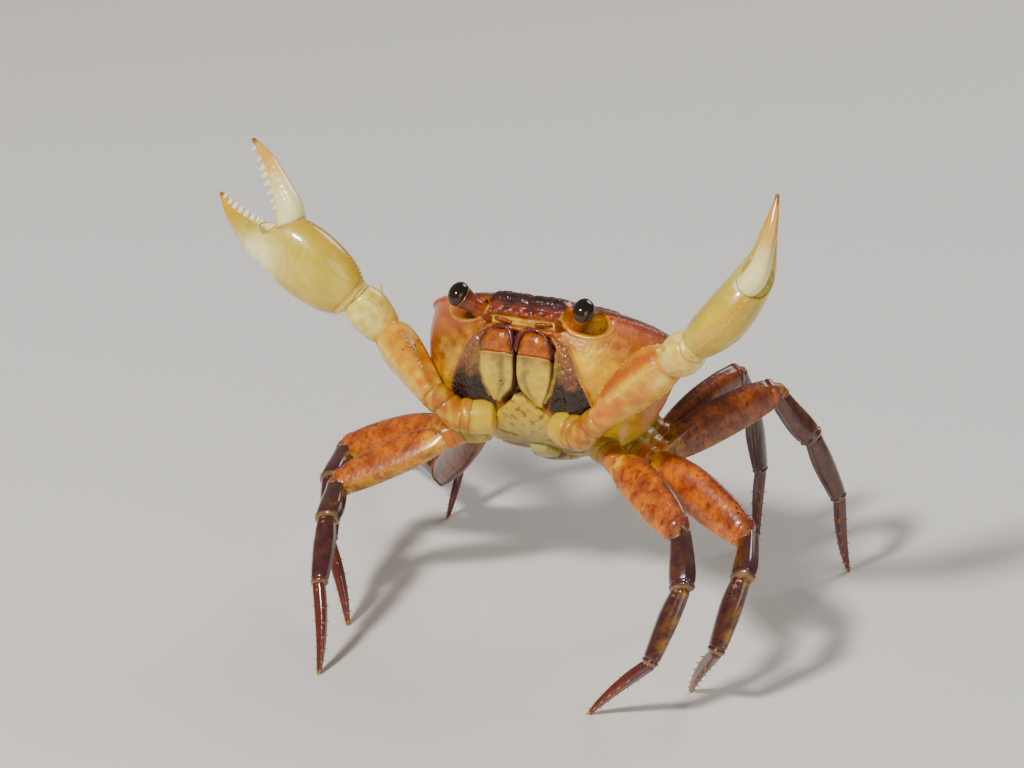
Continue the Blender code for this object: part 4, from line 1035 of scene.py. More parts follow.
# %% Under plates
def under_plate(widths, first_angle, last_angle, inner, outer, rows, columns, relief):
    """A plate on the underside from its half-widths: its outer face is the smooth shell raised by outer
    plus a relief, rounded off at its side edges, and its inner face is sunk below."""
    halves = smooth_rows(np.array(widths)[:, None], rows)[:, 0]
    level = np.linspace(0.0, 1.0, rows)
    across = np.sin(np.linspace(-math.pi / 2, math.pi / 2, columns))
    x = halves[:, None] * across[None, :]
    angle = np.radians(first_angle + (last_angle - first_angle) * level)[:, None] + 0 * x
    edge = np.clip(1 - np.abs(across), 0.0, 1.0)[None, :] + 0 * x
    ends = np.clip(np.minimum(level, 1 - level) / 0.04, 0.0, 1.0)[:, None]
    rounding = np.minimum(1.0, np.minimum(edge / 0.2, ends)) ** 0.5
    level, across = np.broadcast_to(level[:, None], x.shape), np.broadcast_to(across[None], x.shape)
    height = inner + (outer - inner) * (0.45 + 0.55 * rounding) + relief(level, across, x)
    base, outward = shell(x, angle), outward_of(x, angle)
    front = base + outward * height[..., None]
    back = base + outward * inner
    rings = plate_rings(front, back)
    return rings, *(np.concatenate([a, a[:, ::-1]], 1) for a in (level, across, x))


STERNAL_SUTURES = (0.16, 0.34, 0.52, 0.68, 0.84)
ABDOMEN_GROOVES = (0.17, 0.33, 0.47, 0.60, 0.72, 0.84)
STERNUM_WIDTHS = (1.0, 5.2, 8.2, 9.6, 10.0, 9.4, 8.0)
ABDOMEN_WIDTHS = (1.6, 2.9, 3.4, 4.6, 6.4, 8.2, 8.8)
TELSON = np.array((0.40, 0.34, 0.08))


def suture_mask(level, across, x):
    """Sutures that run in from each side and curve forwards towards the middle."""
    total = np.zeros(level.shape)
    for number, at in enumerate(STERNAL_SUTURES):
        curve = at + 0.05 * (1 - np.abs(across)) - 0.035 * np.abs(across) ** 3
        reach = soft(np.abs(across), 0.28, 0.42) * (0.45 if number == 0 else 1.0)
        total = np.maximum(total, bell(level, curve, 0.0075) * reach)
    return total


def sternum_relief(level, across, x):
    """Sutures, low swellings between them and a shallow trough for the abdomen."""
    swell = 0.16 * np.abs(np.sin((level - 0.34) / 0.17 * math.pi)) * soft(level, 0.34, 0.40)
    trough = 0.55 * bell(x, 0.0, 4.6) * soft(level, 0.40, 0.5)
    return swell - trough - 0.34 * suture_mask(level, across, x) + 0.12 * bell(np.abs(across), 0.93, 0.05)


def abdomen_rings(level):
    """Grooves between the seven rings of the abdomen, the first one behind the telson."""
    total = np.zeros(level.shape)
    for at in ABDOMEN_GROOVES:
        total = np.maximum(total, bell(level, at, 0.008))
    return total


def abdomen_relief(level, across, x):
    """Ring grooves, a middle swelling and a lower band along each side."""
    swell = 0.30 * bell(across, 0.0, 0.45) - 0.32 * abdomen_rings(level)
    return swell - 0.12 * bell(np.abs(across), 0.66, 0.08)


rings, level, across, x = under_plate(STERNUM_WIDTHS, 230.0, 322.0, -2.2, 0.1, 130, 70, sternum_relief)
lumps, wide = ripple(rings, 1.4, 51), ripple(rings, 5.0, 52)
paint = mix(PALE * 0.8, YELLOW * 0.75, 0.35 + 0.4 * wide)
paint = mix(paint, OLIVE * 0.75, 0.92 * soft(level, 0.24, 0.44)
            * (1 - 0.4 * soft(np.abs(across), 0.5, 0.9)) + 0.12 * lumps)
paint = mix(paint, BROWN, 0.7 * soft(lumps + 0.6 * wide, 0.6, 1.0) * (1 - soft(level, 0.2, 0.4)))
paint = mix(paint, BROWN * 0.45, 0.9 * suture_mask(level, across, x))
paint = mix(paint, BROWN * 0.5, 0.8 * (1 - soft(level, 0.0, 0.02)) + 0.5
            * soft(np.abs(across), 0.975, 1.0))
piece("sternum_plates", [skin(rings, paint)], BREASTPLATE, ["sternum"], BODY)

rings, level, across, x = under_plate(ABDOMEN_WIDTHS, 270.0, 350.0, -0.9, 1.0, 130, 60, abdomen_relief)
lumps = ripple(rings, 1.8, 53)
paint = mix(OLIVE * 0.9, BROWN, 0.35 + 0.4 * lumps)
paint = mix(paint, TELSON, 1 - soft(level, 0.13, 0.19))
paint = mix(paint, YELLOW * 0.8, 0.5 * soft(np.abs(across), 0.6, 0.9) * soft(level, 0.2, 0.3))
paint = mix(paint, BROWN * 0.4, 0.9 * abdomen_rings(level))
piece("abdomen_rings", [skin(rings, paint)], BREASTPLATE, ["abdomen"], BODY)

# %% [markdown]
# ## Walking legs
# Eight walking legs carry the crab. Each has a stout base, a flat broad thigh with a spiny keel, a short
# knee piece and a shin, both dark and glossy, and a pointed last segment with rows of pale spinules.
# Bones could pose them; in a still crab it is enough to work out each leg's joints once, by bending its
# last three segments evenly between the knee and the foot.

# %% Leg measures
COXA = {2: (11.5, 0.6, -16.8), 3: (13.2, 6.4, -15.4),
        4: (13.0, 11.6, -12.2), 5: (10.8, 15.0, -7.8)}
MERUS_START = {2: (16.8, 0.1, -20.4), 3: (19.6, 6.0, -17.3),
               4: (17.8, 13.2, -13.4), 5: (14.4, 17.5, -9.0)}
CLAW_COXA, CLAW_BEND, CLAW_START = (6.8, -4.2, -17.0), (11.9, -6.1, -18.3), (16.3, -9.4, -16.1)
LEG_LENGTHS = {2: (21.5, 10.5, 13.0, 15.5), 3: (24.0, 11.0, 12.5, 15.0),
               4: (24.5, 11.5, 13.0, 15.5), 5: (21.4, 10.5, 12.5, 14.5)}
# Painted light on the thighs: the front legs' thighs are painted brighter, and the hind legs' thighs darker
# as painted shade.
FRONT_THIGH_PAINTED_LIGHT, HIND_THIGH_PAINTED_SHADE = 1.1, 0.6
MERUS_HEIGHT = {2: 7.0, 3: 7.4, 4: 7.2, 5: 6.2}
LEG_STANCE = {
    (2, "left"): (-30.0, -12.0, 28.3, -37.4, -12.0), (2, "right"): (-152.0, -27.0, -17.2, -49.7, -72.0),
    (3, "left"): (-15.0, -16.0, 38.2, -21.1, -50.0), (3, "right"): (-178.0, -21.0, -24.0, -31.5, -85.0),
    (4, "left"): (66.0, 14.0, 38.4, 34.8, 20.0), (4, "right"): (150.0, -42.0, -61.0, 33.0, 150.0),
    (5, "left"): (81.0, 14.0, 18.8, 36.5, 81.0), (5, "right"): (119.0, 10.0, -34.8, 15.5, 140.0),
}


def bent_chain(start, end, lengths, outward):
    """Joints of a chain bowed evenly to one side: each segment turns by the same angle, found by halving
    until the chain's reach is the distance from start to end."""
    chord = (end - start).length

    def headings(bend):
        middle = (len(lengths) - 1) / 2
        return [bend * (middle - number) for number in range(len(lengths))]

    def flat_end(bend):
        turns = headings(bend)
        return (sum(length * math.cos(turn) for length, turn in zip(lengths, turns)),
                sum(length * math.sin(turn) for length, turn in zip(lengths, turns)))

    low, high = 0.0, math.pi / 2
    for _ in range(60):
        bend = (low + high) / 2
        low, high = (bend, high) if math.hypot(*flat_end(bend)) > chord else (low, bend)
    x, y = flat_end(bend)
    lean = math.atan2(y, x)
    along = (end - start).normalized()
    side = (outward - along * outward.dot(along)).normalized()
    joints = [start]
    for length, turn in zip(lengths, headings(bend)):
        joints.append(joints[-1] + (along * math.cos(turn - lean) + side * math.sin(turn - lean))
                      * length)
    return joints


def leg_joints(number, side):
    """Joints of a walking leg over the floor, from the thigh's start to the tip."""
    heading, rise, foot_x, foot_y, bow = LEG_STANCE[number, side]
    thigh, *rest = LEG_LENGTHS[number]
    start = STANCE @ mirrored(MERUS_START[number], side)
    heading, rise, bow = math.radians(heading), math.radians(rise), math.radians(bow)
    along = Vector((math.cos(heading) * math.cos(rise), math.sin(heading) * math.cos(rise),
                    math.sin(rise)))
    knee = start + along * thigh
    outward = Vector((math.cos(bow), math.sin(bow), 0.5))
    return [start, *bent_chain(knee, Vector((foot_x, foot_y, 0)), rest, outward)]


# %% Leg profiles
def base_rows(length):
    """The stout base: a knob and a collar."""
    return [(0.0, 0, 0, 5.4, 5.2), (0.35 * length, 0, 0, 5.8, 5.4), (0.62 * length, 0, 0, 4.6, 4.4),
            (length, 0, 0, 4.9, 4.2)]


def merus_rows(length, height):
    """The flat thigh with an arched upper edge."""
    stations = [(0.0, 0.55, 3.3), (0.2, 0.86, 3.8), (0.45, 1.0, 4.0), (0.75, 0.9, 4.0), (0.97, 0.64, 3.9)]
    return [(length * at, 0.0, 0.06 * height * math.sin(math.pi * at), height * high, wide)
            for at, high, wide in stations]


def carpus_rows(length):
    """The knee piece, which widens to its far end."""
    return [(0.0, 0, 0, 3.3, 3.1), (0.3 * length, 0, 0.2, 3.8, 3.4), (0.7 * length, 0, 0.2, 4.5, 3.7),
            (0.97 * length, 0, 0, 4.0, 3.3)]


def propodus_rows(length):
    """The shin."""
    return [(0.0, 0, 0, 3.1, 2.6), (0.35 * length, 0, 0.1, 3.8, 2.9), (0.75 * length, 0, 0, 3.3, 2.6),
            (0.98 * length, 0, 0, 2.7, 2.3)]


def dactyl_rows(length):
    """The pointed last segment, a little bowed."""
    return [(0.0, 0, 0, 2.3, 2.0), (0.3 * length, 0, 0.35, 2.3, 1.9), (0.6 * length, 0, 0.4, 1.8, 1.6),
            (0.85 * length, 0, 0.15, 1.2, 1.1), (length, 0, -0.15, 0.6, 0.55)]


# %% Leg reliefs and colours
def base_push(along, turn):
    """Two ring grooves and low folds."""
    return -0.18 * bell(along, 0.56, 0.025) - 0.10 * bell(along, 0.80, 0.018) + 0.10 * np.sin(3 * turn)


def merus_push(along, turn):
    """A keel above, two low edges below, and a collar at the knee."""
    ridge = 0.42 * keel(turn, 90, 13) + 0.22 * keel(turn, 236, 15) + 0.22 * keel(turn, 304, 15)
    raised = ridge * soft(along, 0.0, 0.15) + 0.14 * bell(along, 0.965, 0.02)
    return raised - 0.14 * bell(along, 0.93, 0.014)


def knee_push(along, turn):
    """Two keels above, a flat between them, and a swollen far rim."""
    keels = 0.22 * keel(turn, 62, 14) + 0.22 * keel(turn, 118, 14) - 0.10 * keel(turn, 90, 16)
    rims = keels + 0.16 * bell(along, 0.95, 0.04) - 0.16 * bell(along, 0.87, 0.02)
    return rims + 0.10 * keel(turn, 270, 20)


def shin_push(along, turn):
    """Two low keels and a far rim."""
    keels = 0.16 * keel(turn, 66, 14) + 0.16 * keel(turn, 114, 14) + 0.14 * keel(turn, 270, 16)
    return keels + 0.12 * bell(along, 0.96, 0.03) - 0.12 * bell(along, 0.9, 0.018)


def dactyl_push(along, turn):
    """Four long grooves between the spine rows, which fade towards the tip."""
    return -0.11 * sum(keel(turn, at, 17) for at in (0, 90, 180, 270)) * (1 - soft(along, 0.6, 0.95))


def base_paint(points, along, turn):
    """Pale yellow that goes orange away from the body."""
    lumps = ripple(points, 1.8, 61)
    paint = mix(HUSK * 0.85, OLIVE, 0.35 + 0.35 * lumps)
    paint = mix(paint, ORANGE * 0.9, soft(along + 0.08 * lumps, 0.45, 0.8) * 0.9)
    paint = mix(paint, BROWN, 0.4 * keel(turn, 90, 50))
    return mix(paint, BROWN * 0.7, 0.75 * bell(along, 0.56, 0.02) + 0.5 * bell(along, 0.80, 0.014))


def thigh_paint(points, along, turn, painted_light=1.0):
    """Orange with worm-like red-brown mottling, a maroon keel, amber below, all scaled by a painted light
    factor: above 1 it brightens the thigh as painted light, below 1 it darkens it as painted shade.
    """
    lumps, worms = ripple(points, 3.0, 62), np.abs(ripple(points, 1.3, 63))
    paint = mix(ORANGE * 0.95, DEEP_ORANGE * 0.8, 0.45 + 0.5 * lumps)
    paint = mix(paint, RED * 0.7, (0.35 + 0.35 * along) * (1 - soft(worms, 0.05, 0.35)))
    paint = mix(paint, YELLOW * 0.9, 0.75 * (1 - soft(along + 0.08 * lumps, 0.04, 0.26)))
    paint = mix(paint, YELLOW * 0.8, 0.8 * keel(turn, 270, 40) * (0.8 + 0.3 * lumps))
    paint = mix(paint, PURPLE * 2.2, 0.55 * soft(along + 0.1 * lumps, 0.45, 1.0) * keel(turn, 90, 75))
    return mix(paint, MAROON * 1.6, 0.85 * keel(turn, 90, 18) * soft(along, 0.05, 0.3)) * painted_light


def shin_paint(points, along, turn):
    """Dark purple-brown, a little amber below, with a tan ring at each joint."""
    lumps, fine = ripple(points, 2.4, 64), ripple(points, 0.9, 65)
    paint = mix(PURPLE * 0.9, BROWN * 0.6, 0.2 + 0.4 * lumps + 0.15 * fine)
    paint = mix(paint, AMBER * 0.4, 0.7 * keel(turn, 270, 50) * (0.45 + 0.6 * lumps + 0.2 * fine))
    return mix(paint, TAN * 0.8, 0.6 * bell(along, 1.0, 0.025))


def toe_paint(points, along, turn):
    """Red-brown, paler and horn-like at the tip."""
    lumps = ripple(points, 1.6, 66)
    paint = mix(PURPLE * 1.2, RED * 0.5, 0.45 + 0.4 * lumps + 0.3 * soft(along, 0.1, 0.6))
    return mix(paint, AMBER * 0.8, 0.8 * soft(along, 0.86, 1.0))


def skin_paint(points, along, turn):
    """Pale tan joint skin with fine folds."""
    return mix(TAN * 0.8, RED * 0.6, 0.45 + 0.25 * np.sin(along * 30))


# %% Build the walking legs
SEGMENTS = (("merus", THIGH, "thigh_orange", merus_push, thigh_paint, 72, 48, 0.9),
            ("carpus", SHIN, "shin_purple", knee_push, shin_paint, 48, 40, 0.6),
            ("propodus", SHIN, "shin_purple", shin_push, shin_paint, 48, 36, 0.6),
            ("dactyl", SHIN, "shin_purple", dactyl_push, toe_paint, 60, 32, 0.6))


def joint_skin(before, at, after, high, wide):
    """Soft skin over a joint: a short tube from a little before it to a little after it."""
    into, out = (at - before).normalized(), (after - at).normalized()
    path = [at - into * 1.5, at - into * 0.5, at + out * 0.5, at + out * 1.5]
    rows = [(*point, high, wide) for point in path]
    return tube_skin(rows, 16, 28, skin_paint, power=2.1, start_cap=0.5, end_cap=0.5,
                     push=lambda along, turn: 0.06 * np.sin(along * 24))


def build_leg(number, side):
    """The five segments of a walking leg, its spinules and its joint skin."""
    joints = leg_joints(number, side)
    lengths = [(b - a).length for a, b in zip(joints, joints[1:])]
    tag = f"leg{number}"
    coxa = STANCE @ mirrored(COXA[number], side)
    place = FLOOR @ limb_frame(coxa, joints[0], Vector((0, 0, 1)))
    made = tube_skin(base_rows((joints[0] - coxa).length), 48, 44, base_paint, start_cap=0.4,
                     end_cap=0.8, push=base_push)
    piece(f"{tag}_base_{side}_skin", [made], BREASTPLATE, [f"{tag}_base_{side}"],
          place)
    profiles = [merus_rows(lengths[0], MERUS_HEIGHT[number]), carpus_rows(lengths[1]),
                propodus_rows(lengths[2]), dactyl_rows(lengths[3])]
    plane = (joints[1] - joints[0]).cross(joints[-1] - joints[1])
    down = joints[-1] - joints[0]
    folds = []
    for index, (name, look, slot, push, paint, count, sides, cap) in enumerate(SEGMENTS):
        start, end = joints[index], joints[index + 1]
        up = plane.cross((end - start).normalized())
        up = up if up.dot(down) < 0 else -up
        place = FLOOR @ limb_frame(start, end, up)
        rows = profiles[index]
        if name == "merus":
            # The thigh's colour is scaled by painted light: brighter on the front legs, painted shade on
            # the hind ones.
            def paint(points, along, turn):
                return thigh_paint(points, along, turn, FRONT_THIGH_PAINTED_LIGHT
                                   if number < 4 else HIND_THIGH_PAINTED_SHADE)
        made = tube_skin(rows, count, sides, paint, start_cap=0.8, end_cap=cap, push=push)
        piece(f"{tag}_{name}_{side}_skin", [made], look, [f"{tag}_{name}_{side}"], place)
        if name == "merus":
            spines = [row_of_studs(rows, 90, np.linspace(0.16, 0.95, 18), 0.20, 0.38, MAROON * 2, RED
                                   * 1.3,
                                   lean=(0.3, 0, 0), inset=-0.3)]
            spines += [row_of_studs(rows, at, np.linspace(0.2, 0.94, 22), 0.15, 0.24, ORANGE, AMBER,
                                    sharp=0.5,
                                    inset=-0.12) for at in (236, 304)]
            spines += [row_of_studs(rows, at, np.linspace(first, last, 18), 0.11, 0.14, DEEP_ORANGE, PINK,
                                    sharp=0.5, inset=0.02) for at, first,
                                    last in ((62, 0.2, 0.9), (118, 0.22, 0.92))]
            piece(f"{tag}_merus_{side}_spinules", spines, THIGH, (), place)
        if name == "propodus":
            spines = [row_of_studs(rows, at, np.linspace(0.35, 0.93, 6), 0.13, 0.45, PURPLE * 2, AMBER,
                                   lean=(0.3, 0, 0))
                      for at in (250, 290)]
            spines += [row_of_studs(rows, at, np.linspace(0.1, 0.92, 12), 0.10, 0.14, PURPLE * 2, TAN
                                    * 0.6, sharp=0.5)
                       for at in (66, 114)]
            piece(f"{tag}_propodus_{side}_spinules", spines, HORN, (), place)
        if name == "carpus":
            spines = [row_of_studs(rows, at, np.linspace(0.2, 0.9, 10), 0.12, 0.2, PURPLE * 2, TAN * 0.6,
                                   sharp=0.8, inset=0.0)
                      for at in (62, 118)]
            piece(f"{tag}_carpus_{side}_spinules", spines, HORN, (), place)
        if name == "dactyl":
            spines = []
            for row, at in enumerate((45, 135, 225, 315)):
                spots = np.linspace(0.2, 0.86, 6) + 0.03 * (row % 2)
                spines.append(row_of_studs(rows, at, spots, 0.17, 0.85, AMBER * 0.55, AMBER * 1.1,
                                           lean=(0.55, 0, 0), inset=0.12))
            piece(f"{tag}_dactyl_{side}_spines", spines, HORN, (), place)
        if index < 3:
            last = rows[-1]
            small = 0.80 if index == 0 else 0.68
            folds.append(joint_skin(joints[index], joints[index + 1], joints[index + 2], small * last[3],
                                    small * last[4]))
    folds.append(joint_skin(coxa, joints[0], joints[1], 3.6, 3.4))
    piece(f"{tag}_joints_{side}", folds, SOFT_SKIN)


for side in SIDES:
    for number in (2, 3, 4, 5):
        build_leg(number, side)

# %% [markdown]
# ## Claws
# The claws are held up and open in threat. The arm is three-edged, with a row of pale tubercles along
# each edge. The wrist piece is short and thick and bears one long spine on its inner side. The palm is
# swollen and smooth, and carries a fixed finger; the movable finger is hinged above it. Both fingers
# have conical white teeth, largest in the middle, and dark tips. The palm and its finger could be joined
# from two pieces, but one tube that a plane flattens beside the hinge shows no seam.

# %% Claw measures
CLAW_JOINTS = {
    "left": ((30.7, -16.7, 55.9), (36.3, -18.7, 60.4), (50.9, -9.1, 83.6), (0.438, -0.894, 0.096)),
    "right": ((-29.4, -9.7, 45.3), (-34.6, -13.5, 53.6), (-61.5, -17.5, 71.0), (0.4, 0.1, 0.9)),
}
CLOSING = {"left": math.radians(17.0), "right": 0.0}
CLAW_SIZE = {"left": 0.89, "right": 1.0}
SEAM_LOW, SEAM_HIGH = np.array((17.8, 0.0, 0.4)), np.array((14.5, 0.0, 5.8))
SEAM_OUT = np.array((SEAM_HIGH[2] - SEAM_LOW[2], 0.0, SEAM_LOW[0] - SEAM_HIGH[0]))
SEAM_OUT = SEAM_OUT / np.linalg.norm(SEAM_OUT)

PALM_ROWS = [(0.0, 0, -1.3, 8.0, 6.0), (3.0, 0.4, -0.9, 11.0, 7.8), (8.0, 1.1, -0.4, 12.8, 9.0),
             (13.0, 1.0, -0.7, 12.4, 8.4), (16.4, 0.7, -2.1, 9.8, 7.4), (18.6, 0.3, -3.35, 7.0, 6.2),
             (21.0, -0.6, -4.15, 5.1, 4.6), (24.3, -2.2, -4.7, 3.5, 3.2), (27.5, -3.7, -4.9, 2.1, 1.9),
             (30.4, -5.2, -4.4, 0.8, 0.8)]
MOVABLE_ROWS = [(15.2, 0, 2.0, 5.4, 4.8), (17.4, 0, 4.9, 4.9, 4.5), (19.8, -0.6, 6.1, 4.2, 3.8),
                (23.2, -2.0, 7.2, 3.2, 2.9), (26.4, -3.4, 7.95, 2.3, 2.1), (30.8, -5.7, 7.8, 0.8, 0.8)]
BASE_GROOVES = (0.34, 0.52, 0.82)  # shares of the claw's base at which its rings meet
FINGER_START = 0.60  # share of the palm's tube at which the fixed finger begins


def swung(rows, side):
    """The rows with their sideways bend turned towards the crab's middle."""
    rows = np.array(rows, float)
    rows[:, 1] *= -sign_of(side)
    return rows


def movable_rows(side):
    """The movable finger, turned about its hinge by how far it is shut."""
    rows = swung(MOVABLE_ROWS, side)
    turn = np.array(Matrix.Rotation(CLOSING[side], 3, "Y"))
    hinge = (SEAM_LOW + SEAM_HIGH) / 2
    rows[:, :3] = (rows[:, :3] - hinge) @ turn.T + hinge
    return rows


# %% Claw reliefs and colours
def camera_side(side, angle):
    """An angle down from the upper edge towards the face that shows in front, as a turn in degrees."""
    return 90.0 + sign_of(side) * angle


def arm_push(side):
    """Three keels and a far rim."""
    def push(along, turn):
        keels = sum(high * keel(turn, camera_side(side, at), 15) for at,
                    high in ((10, 0.45), (85, 0.35), (165, 0.4)))
        raised = keels * soft(along, 0.1, 0.35) + 0.2 * bell(along, 0.97, 0.02)
        return raised - 0.2 * bell(along, 0.925, 0.015)
    return push


def arm_paint(side):
    """Orange above, a browner stripe between its keels, cream below."""
    def paint(points, along, turn):
        lumps, fine = ripple(points, 2.4, 71), ripple(points, 0.8, 72)
        golden = 0.80 if side == "right" else 0.30
        colour = mix(ORANGE, YELLOW * 0.95, golden + 0.4 * lumps)
        stripe = (0.8 if side == "left" else 0.45) * keel(turn, camera_side(side, 46), 24)
        colour = mix(colour, DEEP_ORANGE * 1.1, stripe * soft(along, 0.15, 0.4))
        colour = mix(colour, RED * 1.1, 0.7 * keel(turn, camera_side(side, 8), 18)
                     * (1 - soft(along, 0.4, 0.8)))
        colour = mix(colour, YELLOW, 0.6 * keel(turn, camera_side(side, 84), 10) * soft(along, 0.3, 0.5))
        colour = mix(colour, CREAM, 0.85 * keel(turn, camera_side(side, 122), 24) * soft(along, 0.5, 0.9))
        colour = mix(colour, PALE, 0.6 * keel(turn, 270, 50))
        return mix(colour, AMBER * 0.8, 0.8 * soft(along, 0.96, 1.0)) * (1 + 0.05 * fine)[..., None]
    return paint


def claw_base_push(along, turn):
    """Grooves where the base's rings meet."""
    grooves = sum(bell(along + 0.03 * np.sin(turn), at, 0.011) for at in BASE_GROOVES)
    return -0.22 * grooves + 0.15 * bell(along, 0.43, 0.06) + 0.10 * bell(along, 0.88, 0.04)


def claw_base_paint(points, along, turn):
    """Pale yellow with dark grooves, orange towards the arm."""
    lumps = ripple(points, 1.8, 73)
    paint = mix(PALE * 0.85, YELLOW * 0.85, 0.4 + 0.4 * lumps)
    paint = mix(paint, mix(ORANGE * 0.7, YELLOW * 0.7, 0.3 + 0.5 * lumps),
                soft(along + 0.06 * lumps, 0.22, 0.42) * 0.92)
    grooves = sum(bell(along + 0.03 * np.sin(turn), at, 0.009) for at in BASE_GROOVES)
    return mix(paint, BROWN * 0.7, 0.75 * grooves)


def wrist_push(along, turn):
    """A shallow ring and a low keel above."""
    folds = 0.25 * keel(turn, 90, 20) - 0.22 * bell(along, 0.14, 0.03) - 0.2 * bell(along, 0.93, 0.02)
    return folds + 0.1 * bell(along, 0.985, 0.02)


def wrist_paint(points, along, turn):
    """Cream with an orange near end and amber above."""
    lumps = ripple(points, 2.0, 74)
    paint = mix(CREAM, HUSK, 0.25 + 0.35 * lumps)
    paint = mix(paint, ORANGE * 1.1, 0.85 * (1 - soft(along + 0.05 * lumps, 0.10, 0.36)))
    paint = mix(paint, AMBER, 0.5 * keel(turn, 90, 38))
    return mix(paint, BROWN, 0.7 * bell(along, 0.93, 0.014))


def palm_paint(points, along, turn):
    """Ivory on the swelling, partly the palm's own colour and partly a painted highlight, olive-yellow
    towards its margins, amber along the upper one.
    """
    wide, lumps = ripple(points, 6.0, 75), ripple(points, 1.4, 76)
    paint = mix(HUSK, PALE, 0.30 + 0.3 * wide)
    # The ivory streaks on the palm's two faces are partly its own colour and partly a painted highlight.
    ivory_and_highlight = keel(turn, 335, 46) + keel(turn, 205, 46)
    paint = mix(paint, IVORY, (1.2 * ivory_and_highlight + 0.1) * bell(along, 0.50, 0.15) + 0.08 * lumps)
    paint = mix(paint, AMBER * 0.7, 0.6 * keel(turn, 90, 20) * (1 - soft(along, 0.42, 0.5)))
    paint = mix(paint, CREAM, 0.8 * (1 - soft(along, 0.0, 0.05)))
    paint = mix(paint, AMBER * 0.7, 0.8 * bell(along, 0.022, 0.012))
    paint = mix(paint, AMBER, soft(along + 0.02 * lumps, 0.68, 0.90) * 0.85)
    paint = mix(paint, AMBER * 0.6, 0.5 * keel(turn, 90, 24) * soft(along, 0.60, 0.72))
    return mix(paint, BROWN * 1.1, soft(along, 0.955, 0.99) * 0.85)


def finger_paint(points, along, turn):
    """Ivory at the root, amber along it, then a grey-brown tip."""
    lumps = ripple(points, 1.5, 77)
    paint = mix(IVORY, AMBER * 1.05, soft(along + 0.05 * lumps, 0.35, 0.8) * 0.9)
    paint = mix(paint, AMBER * 0.6, 0.5 * keel(turn, 270, 26) * soft(along, 0.2, 0.4))
    paint = mix(paint, BROWN, 0.7 * bell(np.abs((points - SEAM_LOW) @ SEAM_OUT), 0.0, 0.22))
    return mix(paint, BROWN * 1.1, soft(along, 0.92, 0.985) * 0.85)


def palm_push(along, turn):
    """Low margins above and below, a collar at the wrist, and the fixed finger's rows of pits."""
    margins = 0.18 * keel(turn, 90, 12) * (1 - soft(along, 0.44, 0.52)) + 0.16 * keel(turn, 268, 12)
    collar = -0.14 * bell(along, 0.030, 0.007)
    grooves = sum(keel(turn, at, 9) for at in (38, 142, 218, 322)) * (1 + 0.35 * np.sin(along * 260))
    return margins + collar - 0.12 * grooves * soft(along, FINGER_START, 0.7) * (1
                                                                                 - soft(along, 0.9, 0.98))


def finger_push(along, turn):
    """Long shallow grooves of pits on each face."""
    beads = 1 + 0.35 * np.sin(along * 90)
    grooves = sum(keel(turn, at, 8) for at in (38, 142, 218, 322))
    return -0.13 * grooves * beads * soft(along, 0.2, 0.35) * (1 - soft(along, 0.8, 0.95))


def finger_teeth(rows, down, count, seed, turn=270):
    """Conical teeth along the biting edge: eight large ones, largest mid-finger, and small ones between."""
    draw = np.random.default_rng(seed)
    first, last = (0.30, 0.93) if down else (0.60, 0.96)
    spots = np.linspace(first, last, count)
    size = 0.70 + 0.50 * np.sin(math.pi * np.linspace(0.08, 0.95, count)) * draw.uniform(0.85, 1.1, count)
    edge = turn if down else 90
    large = row_of_studs(rows, edge, spots, 0.60 * size, 0.65 + 1.05 * size, IVORY, WHITE, power=2.2,
                         lean=(0.10, 0, 0),
                         sharp=0.9, inset=0.45, sides=12)
    between = (spots[1:] + spots[:-1]) / 2
    small = row_of_studs(rows, edge, between, 0.32, 0.85, IVORY, WHITE, power=2.2, inset=0.45, sides=8)
    return [large, small]


